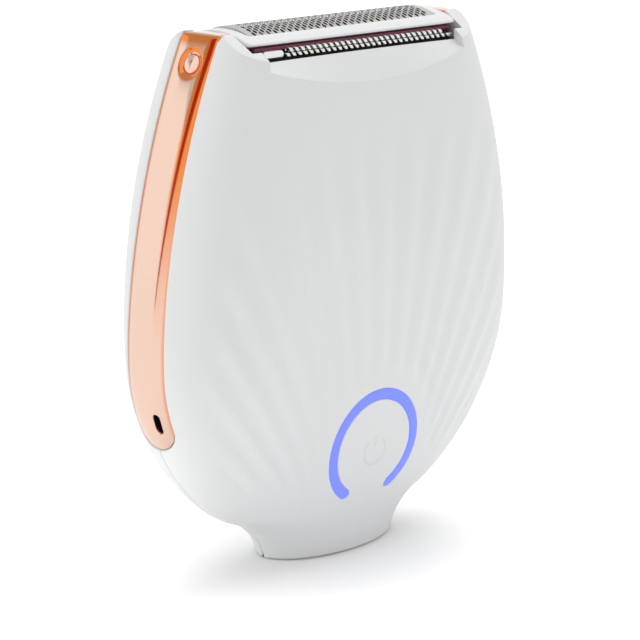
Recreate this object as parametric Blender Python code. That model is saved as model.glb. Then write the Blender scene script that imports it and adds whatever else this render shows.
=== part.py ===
"""Palm-sized electric foil shaver, modelled as an assembly of separate pieces.

The front faces -Y, +Z is up and the foot stands on z = 0. Sizes are in millimetres and become metres
when a piece is finished. Each piece is one object with its own material.
"""
from math import asin, atan2, cos, degrees, hypot, pi, radians, sin, sqrt

import bmesh
import bpy
from mathutils import Matrix, Vector

MM = 0.001

# Body outline seen from the front
FOOT_HALF_WIDTH = 16.2
FLARE_HALF_WIDTH = 23.2
FLARE_HEIGHT = 8.2
FLARE_SLOPE = 2.65
FLARE_PULL = 2.8
BOWL_HALF_WIDTH = 42.7
BOWL_HEIGHT = 39.2
BOWL_PULL = 15.0
SHOULDER_HALF_WIDTH = 30.4
SHOULDER_HEIGHT = 92.0
SHOULDER_SLOPE = 0.45
SHOULDER_PULL = 16.0
BODY_TOP = 95.3
CORNER_RADIUS = 2.2

# Body depth seen from the side, and how square its level sections are
FOOT_HALF_DEPTH = 8.3
FOOT_DEPTH_PULL = 16.0
FOOT_DRAFT = 1.1
BELLY_HALF_DEPTH = 15.1
BELLY_HEIGHT = 58.0
BELLY_PULL_DOWN = 52.0
BELLY_PULL_UP = 10.0
SHOULDER_HALF_DEPTH = 12.4
SHOULDER_DRAFT = 0.12
FOOT_SQUARENESS = 2.05
SHOULDER_SQUARENESS = 4.2
SQUARENESS_BIAS = 1.35

# Walls and gaps
WALL = 2.0
LEDGE_WALL = 1.8
FLOOR = 3.0
PARTING_GAP = 0.3
GAP = 0.3

# Fan of flutes on the front face
FLUTE_FAN_DROP = 11.0
FLUTE_PITCH_DEG = 5.25
FLUTE_COUNT = 17
FLUTE_LINES = 3
FLUTE_DEPTH = 0.4
FLUTE_START = 13.0
FLUTE_FULL_FROM = 22.0
FLUTE_FULL_TO = 64.0
FLUTE_END = 84.0
FLUTE_EDGE_FULL = 0.76
FLUTE_EDGE_END = 0.90
FLUTE_EDGE_TURN = 60.0
REAR_COLUMNS = 18
FLUTE_RING_MARGIN = 1.5
FLUTE_RING_BLEND = 4.5

# Side trims
TRIM_WIDTH = 9.7
TRIM_THICKNESS = 1.4
TRIM_FOOT_HEIGHT = 25.2
TRIM_END_STEPS = 5

# Chamfers beside the head, and the lip in front of the trimmer
CHAMFER_SLOPE = 0.7
CHAMFER_MARGIN = 0.15
LIP_END = 1.3
LIP_INNER_Z = 90.15
LIP_INNER_RISE = 0.5
LIP_SLOPE = 1.03
LIP_END_SLOPE = 0.53
LIP_STEP = 1.7

# Power key and light ring
RING_HEIGHT = 20.6
RING_RADIUS = 11.0
RING_WIDTH = 2.0
RING_GAP_DEG = 54.0
RING_LEAN_DEG = 12.6
KEY_NUB_RADIUS = 1.5
KEY_FREE_TRAVEL = 0.7

# Release buttons
RELEASE_HEIGHT = 90.5
RELEASE_RADIUS = 2.2
RELEASE_DOME = 0.4
RELEASE_SINK = 0.6
RELEASE_COUNTERSINK = 0.5
RELEASE_FLANGE_RADIUS = 3.2
RELEASE_FLANGE = 0.6
RELEASE_PLUNGER_RADIUS = 1.5
RELEASE_TRAVEL = 0.8
RELEASE_SEAL = 0.5

# Charging inlet
INLET_RISE = 5.2
INLET_OFFSET = 2.0
INLET_LENGTH = 4.6
INLET_WIDTH = 2.0
SOCKET_LENGTH = 7.0
SOCKET_WIDTH = 4.0
SOCKET_DEPTH = 6.0

# Head cassette
SHOULDER_LAND = 4.9
FRAME_HALF_WIDTH = 8.2
FRAME_RAIL_Z = 93.2
FRAME_RAIL_EDGE = 0.5
FRAME_CROWN_Z = 95.6
FRAME_WALL = 1.0
FRAME_BOTTOM = 86.6
FRAME_NOTCH_DEPTH = 1.5
WELL_HALF_WIDTH = 9.2
SHELF_TOP = 84.0
SHELF_THICKNESS = 2.0
FOIL_END = 2.8
FOIL_HALF_WIDTH = 5.6
FOIL_EDGE_Z = 94.4
FOIL_RIDGE_Z = 96.0
FOIL_SKIRT = 1.6
FOIL_THICKNESS = 0.3
FOIL_COLUMNS = 15
FOIL_ROWS = 5
FOIL_WEB = 0.34

# Trimmers
COMB_END = 1.5
COMB_REACH = 8.9
COMB_ROOT = 8.1
COMB_THICKNESS = 0.6
COMB_BOTTOM = 90.6
COMB_PITCH = 1.3
BLADE_END = 2.4
BLADE_SETBACK = 0.2
BLADE_PITCH = 1.6
TOOTH_ROOT_SHARE = 0.62
TOOTH_TIP_SHARE = 0.3
TOOTH_MARGIN = 1.6
CARRIER_DEPTH = 0.8
TAB_HALF_WIDTH = 1.5

# Cutter and drive
STROKE = 0.8
CUTTER_END = 1.9
CUTTER_HALF_WIDTH = 4.2
CUTTER_COUNT = 22
CUTTER_BLADE = 0.5
CUTTER_SPINE = 1.4
CARRIAGE_BOTTOM = 86.9
CARRIAGE_THICKNESS = 2.0
FORK_POST = 1.0
YOKE_BOTTOM = 79.6
YOKE_BRIDGE = 83.2
YOKE_HALF_WIDTH = 3.0
YOKE_PRONG = 1.5
DECK_THICKNESS = 1.2
SEAL_THICKNESS = 0.8
SEAL_RIM = 2.4
PIN_RADIUS = 1.0
PIN_TOP = 82.7
ECCENTRIC_RADIUS = 4.0
ECCENTRIC_BOTTOM = 76.4
ECCENTRIC_THICKNESS = 2.6
SHAFT_RADIUS = 1.0
MOTOR_RADIUS = 10.0
MOTOR_HALF_FLAT = 7.7
MOTOR_LENGTH = 25.0
MOTOR_TOP = 74.0
CRADLE_WALL = 2.2
CRADLE_HEIGHT = 14.0
CRADLE_EAR = 6.5
CRADLE_EAR_THICKNESS = 1.6

# Power supply and board
CELL_RADIUS = 7.1
CELL_LENGTH = 48.0
CELL_HEIGHT = 40.0
CELL_NUB_RADIUS = 2.6
CELL_NUB = 1.0
TAB_THICKNESS = 0.5
TAB_SIZE = 7.0
SADDLE_X = 15.0
SADDLE_THICKNESS = 1.6
BOARD_HALF_WIDTH = 15.0
BOARD_BOTTOM = 12.5
BOARD_TOP = 33.0
BOARD_THICKNESS = 1.2
SWITCH_SIZE = 6.0
SWITCH_HEIGHT = 1.9
SWITCH_PLUNGER_RADIUS = 1.4
SWITCH_PLUNGER = 0.7
LED_LENGTH = 2.4
LED_HEIGHT = 1.2

# Screws
SCREW_RADIUS = 1.0
SCREW_HEAD_RADIUS = 1.9
SCREW_HEAD = 0.8
SCREW_GRIP = 4.0
BOSS_RADIUS = 2.6
BOARD_SCREW_INSET = 2.4
BOARD_SCREW_DROP = 4.0
DECK_SCREW_END = 6.5
DECK_SCREW_Y = 3.9

# Sizes that follow from the driving ones
TRIM_HALF = TRIM_WIDTH / 2
SIDE_WALL = TRIM_THICKNESS + GAP + LEDGE_WALL
INLET_HEIGHT = TRIM_FOOT_HEIGHT + INLET_RISE
FRAME_HALF_LENGTH = SHOULDER_HALF_WIDTH - SHOULDER_LAND
LIP_HALF_LENGTH = FRAME_HALF_LENGTH - LIP_END
FOIL_HALF_LENGTH = FRAME_HALF_LENGTH - FOIL_END
COMB_HALF_LENGTH = FRAME_HALF_LENGTH - COMB_END
BLADE_HALF_LENGTH = COMB_HALF_LENGTH - BLADE_END
CUTTER_HALF_LENGTH = FOIL_HALF_LENGTH - CUTTER_END
DECK_SCREW_X = FRAME_HALF_LENGTH - DECK_SCREW_END
BOARD_SCREW_X = BOARD_HALF_WIDTH - BOARD_SCREW_INSET
BOARD_SCREW_Z = BOARD_TOP - BOARD_SCREW_DROP
WELL_HALF_LENGTH = FRAME_HALF_LENGTH + GAP
DECK_BOTTOM = SHELF_TOP + GAP
DECK_TOP = DECK_BOTTOM + DECK_THICKNESS
CAVITY_TOP = SHELF_TOP - SHELF_THICKNESS
YOKE_SLOT = PIN_RADIUS + 2 * STROKE + GAP
YOKE_HALF_LENGTH = YOKE_SLOT + YOKE_PRONG
FAN = Vector((0.0, 0.0, -FLUTE_FAN_DROP))
WHITE = (0.83, 0.83, 0.84)


def bezier(points, steps):
    """Points along one cubic curve, first to last."""
    a, b, c, d = (Vector(p) for p in points)
    curve = []
    for i in range(steps + 1):
        t = i / steps
        s = 1 - t
        curve.append(a * s ** 3 + b * 3 * s * s * t + c * 3 * s * t * t + d * t ** 3)
    return curve


def corner_arc(steps):
    """Round shoulder corner: tangent to the leaning side, level at the top."""
    lean = atan2(SHOULDER_SLOPE, 1)
    centre_z = BODY_TOP - CORNER_RADIUS
    side = SHOULDER_HALF_WIDTH - SHOULDER_SLOPE * (centre_z - SHOULDER_HEIGHT)
    centre = Vector((side - CORNER_RADIUS / cos(lean), centre_z))
    arc = []
    for i in range(steps + 1):
        turn = lean + (pi / 2 - lean) * i / steps
        arc.append(centre + CORNER_RADIUS * Vector((cos(turn), sin(turn))))
    return arc


def outline(steps):
    """Half outline as (half width, height) points, foot to shoulder top."""
    flare = Vector((FLARE_HALF_WIDTH, FLARE_HEIGHT))
    pull = Vector((FLARE_SLOPE, 1)) * FLARE_PULL
    bowl = Vector((BOWL_HALF_WIDTH, BOWL_HEIGHT))
    reach = Vector((0, BOWL_PULL))
    shoulder = Vector((SHOULDER_HALF_WIDTH, SHOULDER_HEIGHT))
    lean = Vector((SHOULDER_SLOPE, -1)) * SHOULDER_PULL
    foot = Vector((FOOT_HALF_WIDTH, 0))
    curve = bezier((foot, foot, flare - pull, flare), max(3, steps // 2))
    curve += bezier((flare, flare + pull, bowl - reach, bowl), steps)[1:]
    curve += bezier((bowl, bowl + reach, shoulder + lean, shoulder), steps)[1:]
    return curve + corner_arc(max(3, steps // 2))


def depth_curve(steps):
    """Half depth as (half depth, height) points, foot to shoulder."""
    foot = Vector((FOOT_HALF_DEPTH, 0))
    belly = Vector((BELLY_HALF_DEPTH, BELLY_HEIGHT))
    shoulder = Vector((SHOULDER_HALF_DEPTH, SHOULDER_HEIGHT))
    rise = Vector((FOOT_DRAFT, FOOT_DEPTH_PULL))
    lean = Vector((SHOULDER_DRAFT, -1)) * BELLY_PULL_UP
    curve = bezier((foot, foot + rise, belly - Vector((0, BELLY_PULL_DOWN)), belly), steps)
    return curve + bezier((belly, belly + Vector((0, BELLY_PULL_UP)), shoulder + lean, shoulder), steps)[1:]


WIDTHS = outline(60)
DEPTHS = depth_curve(60)


def read_curve(curve, z):
    """Value of a curve of (value, height) points at a height."""
    for low, high in zip(curve, curve[1:]):
        if z <= high.y:
            share = (z - low.y) / max(high.y - low.y, 1e-9)
            return low.x + (high.x - low.x) * max(share, 0)
    last, before = curve[-1], curve[-2]
    return last.x + (last.x - before.x) / max(last.y - before.y, 1e-9) * (z - last.y)


def half_width(z):
    return read_curve(WIDTHS, min(z, BODY_TOP))


def half_depth(z):
    return read_curve(DEPTHS, z)


def squareness(z):
    rise = max(z / SHOULDER_HEIGHT, 0) ** SQUARENESS_BIAS
    return FOOT_SQUARENESS + (SHOULDER_SQUARENESS - FOOT_SQUARENESS) * rise


def face_depth(x, z, side_inset=0.0, face_inset=0.0):
    """Depth of the body's face at a place in the front view."""
    n = squareness(z)
    share = min(abs(x) / (half_width(z) - side_inset), 1)
    return (half_depth(z) - face_inset) * (1 - share ** n) ** (1 / n)


def side_drop(y, z):
    """How far the side falls back from its middle line at a depth."""
    n = squareness(z)
    share = min(abs(y) / half_depth(z), 1)
    return half_width(z) * (1 - (1 - share ** n) ** (1 / n))


def section(z, turns, side_inset=0.0, face_inset=0.0):
    """Points of a level section; turn 0 is the front, +-90 the sides, 180 the back."""
    n = squareness(z)
    width = half_width(z) - side_inset
    depth = half_depth(z) - face_inset
    points = []
    for turn in turns:
        s, c = sin(radians(turn)), cos(radians(turn))
        s = 0.0 if abs(s) < 1e-9 else s
        c = 0.0 if abs(c) < 1e-9 else c
        x = width * (1 if s > 0 else -1) * abs(s) ** (2 / n)
        y = -depth * (1 if c > 0 else -1) * abs(c) ** (2 / n)
        points.append(Vector((x, y, z)))
    return points


def smooth_step(low, high, value):
    t = min(max((value - low) / (high - low), 0), 1)
    return t * t * (3 - 2 * t)


# Mesh helpers

def loft(rings):
    """Closed solid through rings of as many points each."""
    bm = bmesh.new()
    rows = [[bm.verts.new(p) for p in ring] for ring in rings]
    count = len(rings[0])
    for low, high in zip(rows, rows[1:]):
        for i in range(count):
            j = (i + 1) % count
            bm.faces.new((low[i], low[j], high[j], high[i]))
    bm.faces.new(rows[0])
    bm.faces.new(rows[-1])
    return tidy(bm)


def tidy(bm):
    bmesh.ops.remove_doubles(bm, verts=bm.verts, dist=1e-4)
    bmesh.ops.dissolve_degenerate(bm, dist=1e-4, edges=bm.edges)
    bmesh.ops.recalc_face_normals(bm, faces=bm.faces)
    return bm


def prism(points, vector):
    """Solid swept straight from a flat outline."""
    return loft([points, [p + vector for p in points]])


def box(low, high):
    a, b = Vector(low), Vector(high)
    ring = [Vector((x, y, a.z)) for x, y in ((a.x, a.y), (b.x, a.y), (b.x, b.y), (a.x, b.y))]
    return prism(ring, Vector((0, 0, b.z - a.z)))


def turned(profile, sides):
    """Solid turned about Z from (radius, height) points that start and end on the axis."""
    bm = bmesh.new()
    rows = []
    for radius, height in profile:
        if radius == 0:
            rows.append([bm.verts.new((0, 0, height))])
            continue
        turns = [2 * pi * i / sides for i in range(sides)]
        rows.append([bm.verts.new((radius * cos(t), radius * sin(t), height)) for t in turns])
    for low, high in zip(rows, rows[1:]):
        for i in range(sides):
            j = (i + 1) % sides
            ring = [low[i % len(low)], low[j % len(low)], high[j % len(high)], high[i % len(high)]]
            bm.faces.new(list(dict.fromkeys(ring)))
    return tidy(bm)


def rod(radius, low, high, sides=16):
    return turned([(0, low), (radius, low), (radius, high), (0, high)], sides)


def tube(inner, outer, low, high, sides=20):
    """Ring with a square section about Z."""
    turns = [2 * pi * i / sides for i in range(sides)]
    corners = ((inner, low), (outer, low), (outer, high), (inner, high))
    bm = bmesh.new()
    rows = [[bm.verts.new((r * cos(t), r * sin(t), h)) for r, h in corners] for t in turns]
    for i in range(sides):
        here, there = rows[i], rows[(i + 1) % sides]
        for k in range(4):
            m = (k + 1) % 4
            bm.faces.new((here[k], here[m], there[m], there[k]))
    return tidy(bm)


def cut(bm, point, normal):
    """Keep what lies behind a plane, and close the cut."""
    geom = bm.verts[:] + bm.edges[:] + bm.faces[:]
    bmesh.ops.bisect_plane(
        bm, geom=geom, dist=1e-5, plane_co=point, plane_no=normal, clear_outer=True)
    bmesh.ops.holes_fill(bm, edges=[e for e in bm.edges if e.is_boundary], sides=0)
    return tidy(bm)


def moved(bm, matrix):
    bmesh.ops.transform(bm, matrix=matrix, verts=bm.verts)
    return bm


def mirrored(bm):
    """The same piece on the other side, x for -x."""
    for v in bm.verts:
        v.co.x = -v.co.x
    bmesh.ops.reverse_faces(bm, faces=bm.faces)
    return bm


def turned_about(bm):
    """The same piece at the other end, half a turn about Z."""
    return moved(bm, Matrix.Rotation(pi, 4, "Z"))


def aim(point, direction):
    """Matrix that puts Z along a direction at a point, with Y kept where it can be."""
    z = Vector(direction).normalized()
    y = Vector((0, 1, 0)) if abs(z.y) < 0.9 else Vector((0, 0, 1))
    x = y.cross(z).normalized()
    y = z.cross(x)
    basis = Matrix((x, y, z)).transposed().to_4x4()
    return Matrix.Translation(Vector(point)) @ basis


def as_object(bm, name):
    mesh = bpy.data.meshes.new(name)
    bm.to_mesh(mesh)
    bm.free()
    obj = bpy.data.objects.new(name, mesh)
    bpy.context.scene.collection.objects.link(obj)
    return obj


def combine(obj, tools, operation):
    """Boolean an object with each tool in turn and drop the tools."""
    for tool in tools:
        cutter = as_object(tool, "cutter")
        modifier = obj.modifiers.new(operation.lower(), "BOOLEAN")
        modifier.operation = operation
        modifier.object = cutter
        bpy.context.view_layer.update()
        graph = bpy.context.evaluated_depsgraph_get()
        result = bpy.data.meshes.new_from_object(obj.evaluated_get(graph))
        obj.modifiers.clear()
        old, obj.data = obj.data, result
        bpy.data.meshes.remove(old)
        spare = cutter.data
        bpy.data.objects.remove(cutter)
        bpy.data.meshes.remove(spare)
    return obj


def carve(bm, *tools):
    """Difference on loose meshes, given back as a loose mesh."""
    return as_mesh(combine(as_object(bm, "work"), tools, "DIFFERENCE"))


def fuse(bm, *tools):
    return as_mesh(combine(as_object(bm, "work"), tools, "UNION"))


def overlap_of(bm, *tools):
    return as_mesh(combine(as_object(bm, "work"), tools, "INTERSECT"))


def as_mesh(obj):
    bm = bmesh.new()
    bm.from_mesh(obj.data)
    mesh = obj.data
    bpy.data.objects.remove(obj)
    bpy.data.meshes.remove(mesh)
    return tidy(bm)


def material(name, colour, roughness, metallic=0.0, glow=0.0):
    mat = bpy.data.materials.get(name)
    if mat:
        return mat
    mat = bpy.data.materials.new(name)
    mat.use_nodes = True
    shader = mat.node_tree.nodes["Principled BSDF"]
    shader.inputs["Base Color"].default_value = (*colour, 1)
    shader.inputs["Roughness"].default_value = roughness
    shader.inputs["Metallic"].default_value = metallic
    if glow:
        shader.inputs["Emission Color"].default_value = (*colour, 1)
        shader.inputs["Emission Strength"].default_value = glow
    mat.diffuse_color = (*colour, 1)
    return mat


def piece(name, bm, finish, pivot=(0, 0, 0), smooth_deg=35):
    """Finish a piece: millimetres to metres, origin on its pivot, material and shading."""
    pivot = Vector(pivot)
    bm = moved(bm, Matrix.Scale(MM, 4) @ Matrix.Translation(-pivot))
    obj = as_object(bm, name)
    obj.location = pivot * MM
    obj.data.materials.clear()
    obj.data.materials.append(finish)
    obj.data.shade_smooth()
    obj.data.set_sharp_from_angle(angle=radians(smooth_deg))
    return obj


# Shared places on the body

def trim_path():
    """Left trim's middle line as (place, outward normal), foot end to the head."""
    low = [p for p in outline(10) if p.y > TRIM_FOOT_HEIGHT + 0.5]
    start = Vector((half_width(TRIM_FOOT_HEIGHT), TRIM_FOOT_HEIGHT))
    return [start] + low + [Vector((WELL_HALF_LENGTH, BODY_TOP))]


def path_at(path, distance):
    """Place and outward normal at a distance along a path of (half width, height) points."""
    for a, b in zip(path, path[1:]):
        step = (b - a).length
        if distance <= step or b is path[-1]:
            along = (b - a) / step
            return a + along * distance, Vector((along.y, -along.x))
        distance -= step


def path_length(path):
    return sum((b - a).length for a, b in zip(path, path[1:]))


def path_stations(path, reach):
    """Distances for the trim's cross sections: a round end, then each path point."""
    ends = [reach * (1 - cos(pi / 2 * k / TRIM_END_STEPS)) for k in range(1, TRIM_END_STEPS + 1)]
    marks, total = [], 0.0
    for a, b in zip(path, path[1:]):
        total += (b - a).length
        marks.append(total)
    return ends + [m for m in marks if m > reach * 1.2]


def station_normal(path, distance):
    """Outward normal, averaged a little to each side so that sections stay square to the path."""
    step = 0.4
    _, before = path_at(path, max(distance - step, 0))
    _, after = path_at(path, min(distance + step, path_length(path) - 1e-6))
    return (before + after).normalized()


def trim_strip(grow=0.0, lift=0.0):
    """Left trim's solid. The rebate for it is the same strip, grown by the gap and lifted clear."""
    path = trim_path()
    reach = TRIM_HALF + grow
    rings = []
    for distance in path_stations(path, reach):
        place, _ = path_at(path, distance)
        normal = station_normal(path, distance)
        back = max(reach - distance, 0)
        half = sqrt(max(reach ** 2 - back ** 2, 0))
        outer, inner = [], []
        for share in (-1, -0.5, 0, 0.5, 1):
            y = half * share
            drop = side_drop(y, min(place.y, SHOULDER_HEIGHT)) * abs(normal.x)
            top = place - normal * (drop - lift)
            under = place - normal * (drop + TRIM_THICKNESS + grow)
            outer.append(Vector((-top.x, y, top.y)))
            inner.append(Vector((-under.x, y, under.y)))
        rings.append(outer + inner[::-1])
    if lift:
        rings.append([p + Vector((GAP + lift, 0, 0)) for p in rings[-1]])
        first = rings[0]
        rings.insert(0, [p - Vector((0, 0, grow)) for p in first])
    return loft(rings)


def side_axis(height):
    """Place on the left side's middle line at a height, and the way out of the body there."""
    low, high = half_width(height - 0.5), half_width(height + 0.5)
    out = Vector((-1, 0, low - high)).normalized()
    return Vector((-half_width(height), 0, height)), out


def release_frame():
    """Release axis: z = 0 on the trim's outer face, +z out of the body."""
    place, out = side_axis(RELEASE_HEIGHT)
    return aim(place, out)


def release_reach():
    """Distance along the release axis from the trim's face to the head well."""
    place, out = side_axis(RELEASE_HEIGHT)
    return (-WELL_HALF_LENGTH - place.x) / -out.x


def inlet_frame():
    place, out = side_axis(INLET_HEIGHT)
    place = place - out * side_drop(INLET_OFFSET, INLET_HEIGHT)
    place.y = -INLET_OFFSET
    return aim(place, out)


def oval(length, width, low, high):
    """Slot-shaped prism about Z, its length across Y."""
    half = (length - width) / 2
    points = []
    for i in range(16):
        turn = 2 * pi * (i + 0.5) / 16
        x = width / 2 * cos(turn) + (half if cos(turn) > 0 else -half)
        points.append(Vector((x, width / 2 * sin(turn), low)))
    return prism(points, Vector((0, 0, high - low)))


def ring_frame():
    """Power key's axis: z along the face's outward normal, y up along the leaning face."""
    lean = radians(RING_LEAN_DEG)
    out = Vector((0, -cos(lean), -sin(lean)))
    up = Vector((0, -sin(lean), cos(lean)))
    place = Vector((0, -face_depth(0, RING_HEIGHT), RING_HEIGHT))
    basis = Matrix((up.cross(out), up, out)).transposed().to_4x4()
    return Matrix.Translation(place) @ basis


def key_pivot():
    """Hinge line of the power key, on the face at the foot of the ring."""
    return ring_frame() @ Vector((0, -RING_RADIUS, -WALL / 2))


def chamfer_plane(side):
    """Point and outward normal of the slope between the head and a face (-1 front, 1 rear)."""
    start = TRIM_HALF + GAP + CHAMFER_MARGIN
    normal = Vector((0, side * CHAMFER_SLOPE, 1)).normalized()
    return Vector((0, side * start, BODY_TOP)), normal


def board_face():
    """Depth of the board's front face, clear of the front shell at the board's lower corners."""
    return -face_depth(BOARD_HALF_WIDTH, BOARD_BOTTOM, SIDE_WALL, WALL) + 2 * GAP


def cell_depth():
    """Cell's axis, as far back as the rear wall lets its ends go."""
    heights = (CELL_HEIGHT - CELL_RADIUS, CELL_HEIGHT, CELL_HEIGHT + CELL_RADIUS)
    room = min(face_depth(CELL_LENGTH / 2, z, SIDE_WALL, WALL) for z in heights)
    return room - 2 * GAP - CELL_RADIUS


# Shells

def half_block(side):
    """Solid half of the body, its outer face at the front (-1) or the rear (1)."""
    turns = [-90 + 180 * i / REAR_COLUMNS for i in range(REAR_COLUMNS + 1)]
    if side < 0:
        turns = [t for t in turns if abs(t) >= FLUTE_EDGE_TURN]
    if side > 0:
        turns = [180 - t for t in turns]
    bm = loft([section(p.y, turns) for p in outline(7)])
    if side < 0:
        bm = fluted(bm)
    return cut(bm, Vector((0, side * PARTING_GAP / 2, 0)), Vector((0, -side, 0)))


def flute_sink(place):
    """Depth of the flutes at a place on the front face."""
    turn = degrees(atan2(place.x, place.z - FAN.z))
    if abs(turn) > FLUTE_PITCH_DEG * FLUTE_COUNT / 2:
        return 0.0
    wave = (1 - cos(2 * pi * turn / FLUTE_PITCH_DEG)) / 2
    rise = smooth_step(FLUTE_START, FLUTE_FULL_FROM, place.z)
    fade = 1 - smooth_step(FLUTE_FULL_TO, FLUTE_END, place.z)
    edge = 1 - smooth_step(FLUTE_EDGE_FULL, FLUTE_EDGE_END, abs(place.x) / half_width(place.z))
    from_ring = hypot(place.x, place.z - RING_HEIGHT) - RING_RADIUS - FLUTE_RING_MARGIN
    ring = smooth_step(0, FLUTE_RING_BLEND, from_ring)
    return FLUTE_DEPTH * wave * rise * fade * edge * ring


def front_strip(face):
    """Whether a face lies on the flat front between the innermost side columns."""
    for v in face.verts:
        edge = section(v.co.z, [FLUTE_EDGE_TURN])[0]
        if abs(v.co.x) > edge.x + 2 * GAP or v.co.y > edge.y + 2 * GAP:
            return False
    return abs(face.normal.z) < 0.9


def fluted(bm):
    """Score the flat front along the fan, bend it to the body and sink the flutes."""
    lines = FLUTE_COUNT * FLUTE_LINES // 2
    for k in range(-lines, lines + 1):
        turn = radians(k * FLUTE_PITCH_DEG / FLUTE_LINES)
        faces = [f for f in bm.faces if front_strip(f)]
        geom = faces + list({e for f in faces for e in f.edges}) + list({v for f in faces for v in f.verts})
        normal = Vector((cos(turn), 0, -sin(turn)))
        bmesh.ops.bisect_plane(bm, geom=geom, dist=1e-3, plane_co=FAN, plane_no=normal)
    front = [v for v in bm.verts if v.co.y < -1]
    for v in front:
        v.co.y = -face_depth(v.co.x, v.co.z)
    bm.normal_update()
    sinks = [(v, v.normal.copy(), flute_sink(v.co)) for v in front]
    for v, normal, sink in sinks:
        v.co -= normal * sink
    bm.normal_update()
    bent = {f for v in front for f in v.link_faces if abs(f.normal.z) < 0.99}
    bmesh.ops.triangulate(bm, faces=list(bent))
    return tidy(bm)


def cavity():
    """Space inside the shells."""
    turns = [15 * i for i in range(24)]
    heights = [FLOOR] + [p.y for p in outline(6) if FLOOR + 1 < p.y < CAVITY_TOP - 1] + [CAVITY_TOP]
    rings = [section(z, turns, SIDE_WALL, WALL) for z in heights]
    return loft(rings)


def release_flange():
    """Underside of the release flange along the release axis."""
    return -TRIM_THICKNESS - 2 * GAP - RELEASE_FLANGE


def release_floor():
    """Floor of the counterbore: room for the travel, the seal and a gap each side of it."""
    return release_flange() - RELEASE_TRAVEL - RELEASE_SEAL - 2 * GAP


def release_bore():
    """Counterbore for the release flange and bore for its plunger, down into the head well."""
    floor = release_floor()
    inside = -release_reach() - 2 * LEDGE_WALL
    flange = RELEASE_FLANGE_RADIUS + GAP
    plunger = RELEASE_PLUNGER_RADIUS + GAP
    profile = [(0, inside), (plunger, inside), (plunger, floor), (flange, floor), (flange, GAP), (0, GAP)]
    return moved(turned(profile, 16), release_frame())


def lip_cut(side):
    """Scooped slope in front of a trimmer: steep in the middle, flatter towards the shoulders."""
    rings = []
    top = BODY_TOP + WALL
    depths = [WELL_HALF_WIDTH + LIP_STEP * k for k in (-1, 0, 1, 2, 3)]
    for i in range(13):
        share = i / 6 - 1
        inner = LIP_INNER_Z + LIP_INNER_RISE * share ** 2
        slope = LIP_SLOPE + (LIP_END_SLOPE - LIP_SLOPE) * share ** 2
        ring = [(y, inner - slope * (y - WELL_HALF_WIDTH)) for y in depths]
        ring += [(depths[-1], top), (depths[0], top)]
        rings.append([Vector((share * LIP_HALF_LENGTH, side * y, z)) for y, z in ring])
    bm = loft(rings)
    bmesh.ops.triangulate(bm, faces=bm.faces)
    return tidy(bm)


def head_well():
    high = BODY_TOP + WALL
    return box((-WELL_HALF_LENGTH, -WELL_HALF_WIDTH, SHELF_TOP), (WELL_HALF_LENGTH, WELL_HALF_WIDTH, high))


def shelf_opening():
    """Way through the shelf for the yoke and its seal."""
    x = YOKE_HALF_LENGTH + STROKE + 2 * GAP
    y = YOKE_HALF_WIDTH + 2 * GAP
    return box((-x, -y, CAVITY_TOP - 1), (x, y, SHELF_TOP + 1))


def half_shell(side):
    """One moulded half: outer form, chamfer, cavity, trim rebates, head well and release bores."""
    bm = cut(half_block(side), *chamfer_plane(side))
    rebate = trim_strip(GAP, WALL)
    other = mirrored(trim_strip(GAP, WALL))
    tools = [cavity(), head_well(), lip_cut(side), shelf_opening(), rebate, other]
    tools += [release_bore(), mirrored(release_bore()), deck_screw_hole(side)]
    return carve(bm, *tools)


def deck_screw_place(side):
    return Vector((side * DECK_SCREW_X, side * DECK_SCREW_Y, DECK_TOP))


def deck_screw_hole(side):
    hole = rod(SCREW_RADIUS + GAP, -SHELF_THICKNESS - DECK_THICKNESS - 1, 1, 12)
    return moved(hole, Matrix.Translation(deck_screw_place(side)))


def boss(place, start, end):
    """Screw boss along Y with its pilot hole open towards the start."""
    turn = aim(place, (0, 1, 0))
    low, high = min(start, end), max(start, end)
    return moved(rod(BOSS_RADIUS, low, high, 14), turn)


def pilot(place, start, end):
    low, high = min(start, end), max(start, end)
    return moved(rod(SCREW_RADIUS + GAP, low, high, 10), aim(place, (0, 1, 0)))


def board_screw_places():
    return [Vector((s * BOARD_SCREW_X, 0, BOARD_SCREW_Z)) for s in (-1, 1)]


def front_wall():
    """Front half with its board bosses, before the power key's opening is cut."""
    bm = half_shell(-1)
    seat = board_face() - GAP
    for place in board_screw_places():
        wall = -face_depth(place.x, place.z, SIDE_WALL, WALL) - WALL / 2
        bm = fuse(bm, boss(place, wall, seat))
        bm = carve(bm, pilot(place, seat - SCREW_GRIP, seat + 1))
    return bm


def key_outline(grow):
    """Power key seen along its axis: a disc, and a neck through the ring's open end."""
    radius = RING_RADIUS - RING_WIDTH - GAP + grow
    half_neck = radians(RING_GAP_DEG / 2) - (GAP - grow) / RING_RADIUS
    foot = RING_RADIUS + grow
    points = []
    for i in range(33):
        turn = -pi / 2 + half_neck + (2 * pi - 2 * half_neck) * i / 32
        points.append(Vector((radius * cos(turn), radius * sin(turn), 0)))
    for i in range(5):
        turn = -pi / 2 - half_neck + 2 * half_neck * i / 4
        points.append(Vector((foot * cos(turn), foot * sin(turn), 0)))
    return points


def ring_end(middle, turn, radius, way):
    """Points between the two edges of the light ring, round one of its ends."""
    centre = Vector((middle * cos(turn), middle * sin(turn), 0))
    points = []
    for i in range(1, 4):
        lean = turn + way * pi * i / 4 + (0 if way > 0 else pi + 2 * pi * i / 4)
        points.append(centre + radius * Vector((cos(lean), sin(lean), 0)))
    return points


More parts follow.
